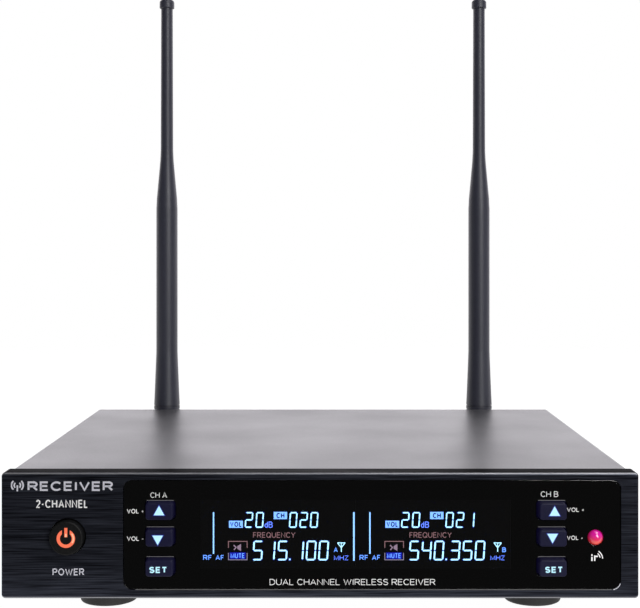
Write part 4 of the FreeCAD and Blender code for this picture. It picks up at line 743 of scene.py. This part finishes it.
def draw_display(channel, number, frequency):
    display = Display(channel)
    draw_numbers(display, number, frequency)
    draw_bars(display)
    for row in DISPLAY_WORDS:
        display.text(*row)
    draw_mute_sign(display)
    draw_mast(display)
    display.text("letter", channel.upper(), CHANNEL_LETTER_LEFT[channel], *CHANNEL_LETTER_PLACE)
    display.text(*MEGAHERTZ_WORD)


# ---------------------------------------------------------------- keys, labels and painted highlights on the front

PRINT_STAND = 0.015 * MM                  # how far printing stands out
PRINT_Y = lens_low.y - PRINT_STAND
PANEL_PRINT_Y = FACE_Y - PRINT_STAND

# How far each legend sits from the middle of its key, in millimetres.
LEGEND_SHIFTS = {
    "a_up": (0.0, 0.45), "a_down": (-0.45, -0.6), "a_set": (-0.3, -0.45),
    "b_up": (0.45, 0.25), "b_down": (-0.25, 0.0), "b_set": (0.2, -0.4)}
SIGN_STAND, GLOW_STAND = 0.03 * MM, 0.01 * MM
SET_WIDTH, SET_HEIGHT, SET_WEIGHT = 5.9 * MM, 2.05 * MM, 0.22
ARROW_HALF_WIDTH, ARROW_HEIGHT = 1.75 * MM, 3.15 * MM
ARROW_GLOW = 0.4 * MM


def key_legends():
    """Lit signs on the six keys, with a faint glow round the arrows."""
    for key, (shift_x, shift_z) in LEGEND_SHIFTS.items():
        low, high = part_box(f"key_{key}")
        x = (low.x + high.x) / 2 + shift_x * MM
        z = (low.z + high.z) / 2 + shift_z * MM
        body = f"key_{key}_key"
        if key.endswith("set"):
            text(f"legend_{key}", "SET", x - SET_WIDTH / 2, z - SET_HEIGHT / 2, SET_WIDTH, SET_HEIGHT,
                 "legend", body, low.y - SIGN_STAND, SET_WEIGHT)
            continue
        rise = ARROW_HEIGHT / 2 if key.endswith("up") else -ARROW_HEIGHT / 2
        outline = [(x - ARROW_HALF_WIDTH, z - rise), (x + ARROW_HALF_WIDTH, z - rise), (x, z + rise)]
        plate(f"legend_{key}", [outline], "legend", body, low.y - SIGN_STAND)
        plate(f"legend_glow_{key}", [grown(outline, ARROW_GLOW)], "legend_halo", body,
              low.y - GLOW_STAND)


CAP_HALF_WIDTH, CAP_HALF_HEIGHT = 4.5 * MM, 2.75 * MM
KEY_RIM_GAP, KEY_RIM_HEIGHT = 0.3 * MM, 0.2 * MM


def key_rim_highlights():
    """A painted highlight: the bright lip of the window over each key."""
    for key in LEGEND_SHIFTS:
        low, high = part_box(f"key_{key}")    # the box takes in the hidden flange, so only its middle is used
        left = (low.x + high.x) / 2 - CAP_HALF_WIDTH
        bottom = (low.z + high.z) / 2 + CAP_HALF_HEIGHT + KEY_RIM_GAP
        outline = box_outline(left, bottom, CAP_HALF_WIDTH * 2, KEY_RIM_HEIGHT)
        plate(f"rim_{key}", [outline], "rim_ink", "case", PRINT_Y)


RIM_DROP = 0.1 * MM       # the line's distance under the window
RIM_START = 4 * MM        # from the window's left end
RIM_CORNER = 3.0 * MM     # radius


def window_edge_highlight():
    """A painted highlight: the bright line along the window's lower edge, with its lower right corner."""
    z = lens_low.z - RIM_DROP
    turn = lens_high.x - RIM_CORNER
    strokes("window_edge_highlight", [[(lens_low.x + RIM_START, z), (turn, z)]], 0.16 * MM, "rim_ink", "case",
            PANEL_PRINT_Y)
    # the corner arc is a painted highlight in white ink
    strokes("window_rim_corner", [bow(turn, z + RIM_CORNER, RIM_CORNER, RIM_CORNER, -80, -20)], 0.24 * MM,
            "white_ink", "case", PANEL_PRINT_Y)


GLOW_RADIUS = 0.82                      # of the bright arc, as a share of the symbol's
GLOW_ARC = (-35, 40)                    # degrees
GLOW_BAR = (0.5 * MM, 1.6 * MM)         # the bright bar's ends above the ring's middle
GLOW_STROKE = 0.5 * MM


def power_glow():
    """The brighter stretch of the power symbol, over its lamp: the lower bar and the ring's right side."""
    low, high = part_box("power_symbol")
    x = (low.x + high.x) / 2
    radius = (high.x - low.x) / 2
    z = low.z + radius
    bright = radius * GLOW_RADIUS
    lines = [[(x, z + GLOW_BAR[0]), (x, z + GLOW_BAR[1])], bow(x, z, bright, bright, *GLOW_ARC)]
    strokes("power_glow", lines, GLOW_STROKE, "symbol_bright", "power_key",
            low.y - GLOW_STAND)


# Words: name, words, left, bottom, width, height, stroke over height, and for the panel the ink.
WINDOW_WORDS = (
    ("channel_a", "CH A", -56.4, 33.5, 5.5, 1.8, 0.1),
    ("channel_b", "CH B", 73.4, 33.8, 5.8, 1.85, 0.1),
    ("louder_a", "VOL +", -64.2, 28.3, 5.6, 1.5, 0.14),
    ("softer_a", "VOL -", -64.2, 19.2, 5.6, 1.45, 0.14),
    ("louder_b", "VOL +", 82.1, 28.85, 5.75, 1.4, 0.13),
    ("softer_b", "VOL -", 82.1, 19.5, 5.3, 1.4, 0.13),
    ("descriptor", "DUAL CHANNEL WIRELESS RECEIVER", -16.75, 4.5, 55.05, 2.0, 0.09),
)
PANEL_WORDS = (
    ("name", "RECEIVER", -97.2, 35.8, 28.4, 3.2, 0.2, "white_ink"),
    ("kind", "2-CHANNEL", -94.4, 30.15, 17.3, 2.75, 0.16, "bright_ink"),
    ("power", "POWER", -88.9, 7.75, 10.5, 2.3, 0.15, "white_ink"),
)


def front_labels():
    """Printed words on the window and on the panel, then the two signs."""
    for name, words, left, bottom, width, height, weight in WINDOW_WORDS:
        text(f"label_{name}", words, left * MM, bottom * MM + BASE_Z, width * MM, height * MM, "lens_ink",
             "case", PRINT_Y, weight)
    for name, words, left, bottom, width, height, weight, ink in PANEL_WORDS:
        text(f"label_{name}", words, left * MM, bottom * MM + BASE_Z, width * MM, height * MM, ink,
             "case", PANEL_PRINT_Y, weight)
    radio_sign()
    infrared_sign()


RADIO_SIGN_MIDDLE = (-100.6, 37.7)      # millimetres, where the waves start from
RADIO_MAST_LENGTH = 2.0
RADIO_WAVES = (1.05, 1.95)              # radii
RADIO_WAVE_ANGLE = 48                   # degrees above and below level


def radio_sign():
    """A mast with two waves on each side, left of the upper words."""
    x, z = RADIO_SIGN_MIDDLE[0] * MM, RADIO_SIGN_MIDDLE[1] * MM + BASE_Z
    lines = [[(x, z - RADIO_MAST_LENGTH * MM), (x, z)]]
    for radius in RADIO_WAVES:
        for side in (0, 180):
            start, end = side - RADIO_WAVE_ANGLE, side + RADIO_WAVE_ANGLE
            lines.append(bow(x, z, radius * MM, radius * MM, start, end))
    strokes("label_radio_sign", lines, 0.5 * MM, "white_ink", "case", PANEL_PRINT_Y)


INFRARED_MIDDLE = (90.9, 13.2)          # millimetres; the strokes below are drawn from here
INFRARED_LETTERS = (
    ((-0.5, -0.7), (-0.5, 0.65)), ((-0.5, 0.95), (-0.5, 1.55)),
    ((0.45, -0.7), (0.45, 1.15)), ((0.45, 0.85), (1.5, 0.85)))
INFRARED_WAVES = ((2.26, 11, 53), (3.06, 2, 56))    # radius, and the arc's ends in degrees


def infrared_sign():
    """Two small letters and two waves under the infrared lamp."""
    x, z = INFRARED_MIDDLE[0] * MM, INFRARED_MIDDLE[1] * MM + BASE_Z
    letters = [[(x + u * MM, z + v * MM) for u, v in points] for points in INFRARED_LETTERS]
    strokes("label_infrared", letters, 0.46 * MM, "lens_ink", "case", PRINT_Y)
    waves = [bow(x, z, radius * MM, radius * MM, start, end) for radius, start, end in INFRARED_WAVES]
    strokes("label_infrared_waves", waves, 0.3 * MM, "lens_ink", "case", PRINT_Y)


# ---------------------------------------------------------------- labels on the back

HALF_FLANGE = 13.0 * MM                 # half the width of an output socket's flange
REAR_WEIGHT = 0.15
INLET_WORD_BOTTOM, SOCKET_WORD_BOTTOM, ANTENNA_WORD_BOTTOM = 29.6, 37.7, 7.0
REAR_WORD_HEIGHT, SOCKET_WORD_HEIGHT = 1.9, 1.6


def rear_labels():
    """Printed words by the sockets, read from behind."""
    y = rear_high.y + PRINT_STAND

    def on_rear(name, words, centre, bottom, width, height=REAR_WORD_HEIGHT):
        left = -centre - width * MM / 2     # the back is drawn from behind, with x the other way
        text(f"rear_label_{name}", words, left, bottom * MM + BASE_Z, width * MM, height * MM, "white_ink",
             "case", y, REAR_WEIGHT, REAR)

    inlet_low, inlet_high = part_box("dc_inlet")
    jack_low, jack_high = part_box("mix_jack_nut")
    shells_low, shells_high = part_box("xlr_shells")
    on_rear("power", "DC IN", (inlet_low.x + inlet_high.x) / 2, INLET_WORD_BOTTOM, 8.0)
    on_rear("mixed", "MIX OUT", (jack_low.x + jack_high.x) / 2, INLET_WORD_BOTTOM, 11.0)
    on_rear("channel_a", "CH A", shells_high.x - HALF_FLANGE, SOCKET_WORD_BOTTOM, 7.0, SOCKET_WORD_HEIGHT)
    on_rear("channel_b", "CH B", shells_low.x + HALF_FLANGE, SOCKET_WORD_BOTTOM, 7.0, SOCKET_WORD_HEIGHT)
    for channel in "ab":
        low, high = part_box(f"antenna_{channel}_swivel")
        on_rear(f"antenna_{channel}", "ANTENNA " + channel.upper(), (low.x + high.x) / 2,
                ANTENNA_WORD_BOTTOM, 15.0)


dress_nodes()
draw_display("a", "020", "515.100")
draw_display("b", "021", "540.350")
key_legends()
key_rim_highlights()
window_edge_highlight()
power_glow()
front_labels()
rear_labels()


# ---------------------------------------------------------------- stage, light and camera

FLOOR_RADIUS = 1.6
FLOOR_FADE = (0.35, 1.2)                # from the middle: where the floor starts to fade, and is gone
FLOOR_GREY = grey(0.12)
FLOOR_GLOW = 0.98
STRIP_START, STRIP_END = 0.045, 0.02    # in front of the panel, where reflections of the floor get bright
STRIP_STRENGTHS = (0.09, 1.1)


def seen_floor(tree, place):
    """What the camera sees: a matt, glowing floor that fades out."""
    nodes, links = tree.nodes, tree.links
    distance = nodes.new("ShaderNodeVectorMath")
    distance.operation = "LENGTH"
    links.new(place, distance.inputs[0])
    fade = smooth_range(tree, distance.outputs["Value"], *FLOOR_FADE, 0.0, 1.0)
    matt = nodes.new("ShaderNodeBsdfDiffuse")
    matt.inputs["Color"].default_value = FLOOR_GREY
    glow = nodes.new("ShaderNodeEmission")
    glow.inputs["Strength"].default_value = FLOOR_GLOW
    both = nodes.new("ShaderNodeAddShader")
    links.new(matt.outputs[0], both.inputs[0])
    links.new(glow.outputs[0], both.inputs[1])
    clear = nodes.new("ShaderNodeBsdfTransparent")
    faded = nodes.new("ShaderNodeMixShader")
    links.new(fade, faded.inputs["Fac"])
    links.new(both.outputs[0], faded.inputs[1])
    links.new(clear.outputs[0], faded.inputs[2])
    return faded.outputs[0]


def reflected_floor(tree, place):
    """What the object reflects: dim in front, and bright from just before the panel backwards."""
    nodes, links = tree.nodes, tree.links
    split = nodes.new("ShaderNodeSeparateXYZ")
    links.new(place, split.inputs[0])
    strength = smooth_range(tree, split.outputs["Y"], FACE_Y - STRIP_START, FACE_Y - STRIP_END,
                            *STRIP_STRENGTHS)
    light = nodes.new("ShaderNodeEmission")
    links.new(strength, light.inputs["Strength"])
    return light.outputs[0]


def camera_sees(tree, seen, otherwise, output):
    """Shows the camera one shader, and gives every other ray another."""
    nodes, links = tree.nodes, tree.links
    path = nodes.new("ShaderNodeLightPath")
    mix = nodes.new("ShaderNodeMixShader")
    end = nodes.new(output)
    links.new(path.outputs["Is Camera Ray"], mix.inputs["Fac"])
    links.new(otherwise, mix.inputs[1])
    links.new(seen, mix.inputs[2])
    links.new(mix.outputs[0], end.inputs["Surface"])


def make_stage():
    """A pale floor that fades out into the white background."""
    mesh = bpy.data.meshes.new("floor")
    work = bmesh.new()
    bmesh.ops.create_circle(work, cap_ends=True, radius=FLOOR_RADIUS, segments=96)
    work.to_mesh(mesh)
    work.free()
    floor = bpy.data.objects.new("floor", mesh)
    bpy.context.scene.collection.objects.link(floor)
    material = bpy.data.materials.new("pale_floor")
    material.use_nodes = True
    tree = material.node_tree
    tree.nodes.clear()
    place = tree.nodes.new("ShaderNodeTexCoord").outputs["Object"]
    camera_sees(tree, seen_floor(tree, place), reflected_floor(tree, place), "ShaderNodeOutputMaterial")
    mesh.materials.append(material)


WORLD_BEHIND = (-0.1, 0.7, 0.06, 1.0)       # direction along Y: from and to, then the strengths there
WORLD_LOW_DOWN = (0.32, 0.75, 2.1, 0.12)    # direction along Z: the same
WORLD_COLOUR = rgb(0.98, 0.95, 1.0)


def make_world():
    """White background. The light it gives is bright low down behind, and dim above and in front."""
    world = bpy.data.worlds.new("studio")
    bpy.context.scene.world = world
    world.use_nodes = True
    tree = world.node_tree
    tree.nodes.clear()
    nodes, links = tree.nodes, tree.links
    place = nodes.new("ShaderNodeTexCoord")
    split = nodes.new("ShaderNodeSeparateXYZ")
    links.new(place.outputs["Generated"], split.inputs[0])
    behind = smooth_range(tree, split.outputs["Y"], *WORLD_BEHIND)
    low_down = smooth_range(tree, split.outputs["Z"], *WORLD_LOW_DOWN)
    light = nodes.new("ShaderNodeBackground")
    light.inputs["Color"].default_value = WORLD_COLOUR
    links.new(product(tree, behind, low_down), light.inputs["Strength"])
    white = nodes.new("ShaderNodeBackground")
    white.inputs["Color"].default_value = grey(1)
    camera_sees(tree, white.outputs[0], light.outputs[0], "ShaderNodeOutputWorld")


def soft_light(name, place, target, width, height, power):
    """A rectangular area light that faces a target."""
    data = bpy.data.lights.new(name, "AREA")
    data.shape = "RECTANGLE"
    data.size = width
    data.size_y = height
    data.energy = power
    lamp = bpy.data.objects.new(name, data)
    lamp.location = place
    lamp.rotation_euler = (Vector(target) - Vector(place)).to_track_quat("-Z", "Y").to_euler()
    bpy.context.scene.collection.objects.link(lamp)


CAMERA_RIGHT = 3.2 * MM                 # of the panel's middle
CAMERA_DISTANCE = 408 * MM              # in front of the panel's face
CAMERA_RISE = 74.33 * MM                # above the panel's top
LENS = 69.05                            # millimetres, on a sensor 36 wide
SENSOR_WIDTH = 36.0
SHIFT_X, SHIFT_Y = -0.015078125, -0.0859375    # shares of the picture's width


def make_camera():
    """Level camera in front, above the case, with the picture shifted to frame the whole object."""
    data = bpy.data.cameras.new("camera")
    data.sensor_width = SENSOR_WIDTH
    data.lens = LENS
    data.shift_x = SHIFT_X
    data.shift_y = SHIFT_Y
    data.clip_start = 0.01
    camera = bpy.data.objects.new("camera", data)
    camera.location = (CAMERA_RIGHT, FACE_Y - CAMERA_DISTANCE, panel_high.z + CAMERA_RISE)
    camera.rotation_euler = (math.radians(90), 0, 0)
    bpy.context.scene.collection.objects.link(camera)
    bpy.context.scene.camera = camera


make_stage()
make_world()
soft_light("overhead", place=(0.35, -0.25, 1.0), target=(0, 0, 0), width=0.6, height=0.5, power=4)
soft_light("front", place=(0.55, -1.15, 0.55), target=(0, 0, 0.1), width=0.5, height=1.0, power=14)
make_camera()
bpy.context.scene.view_settings.view_transform = "Standard"
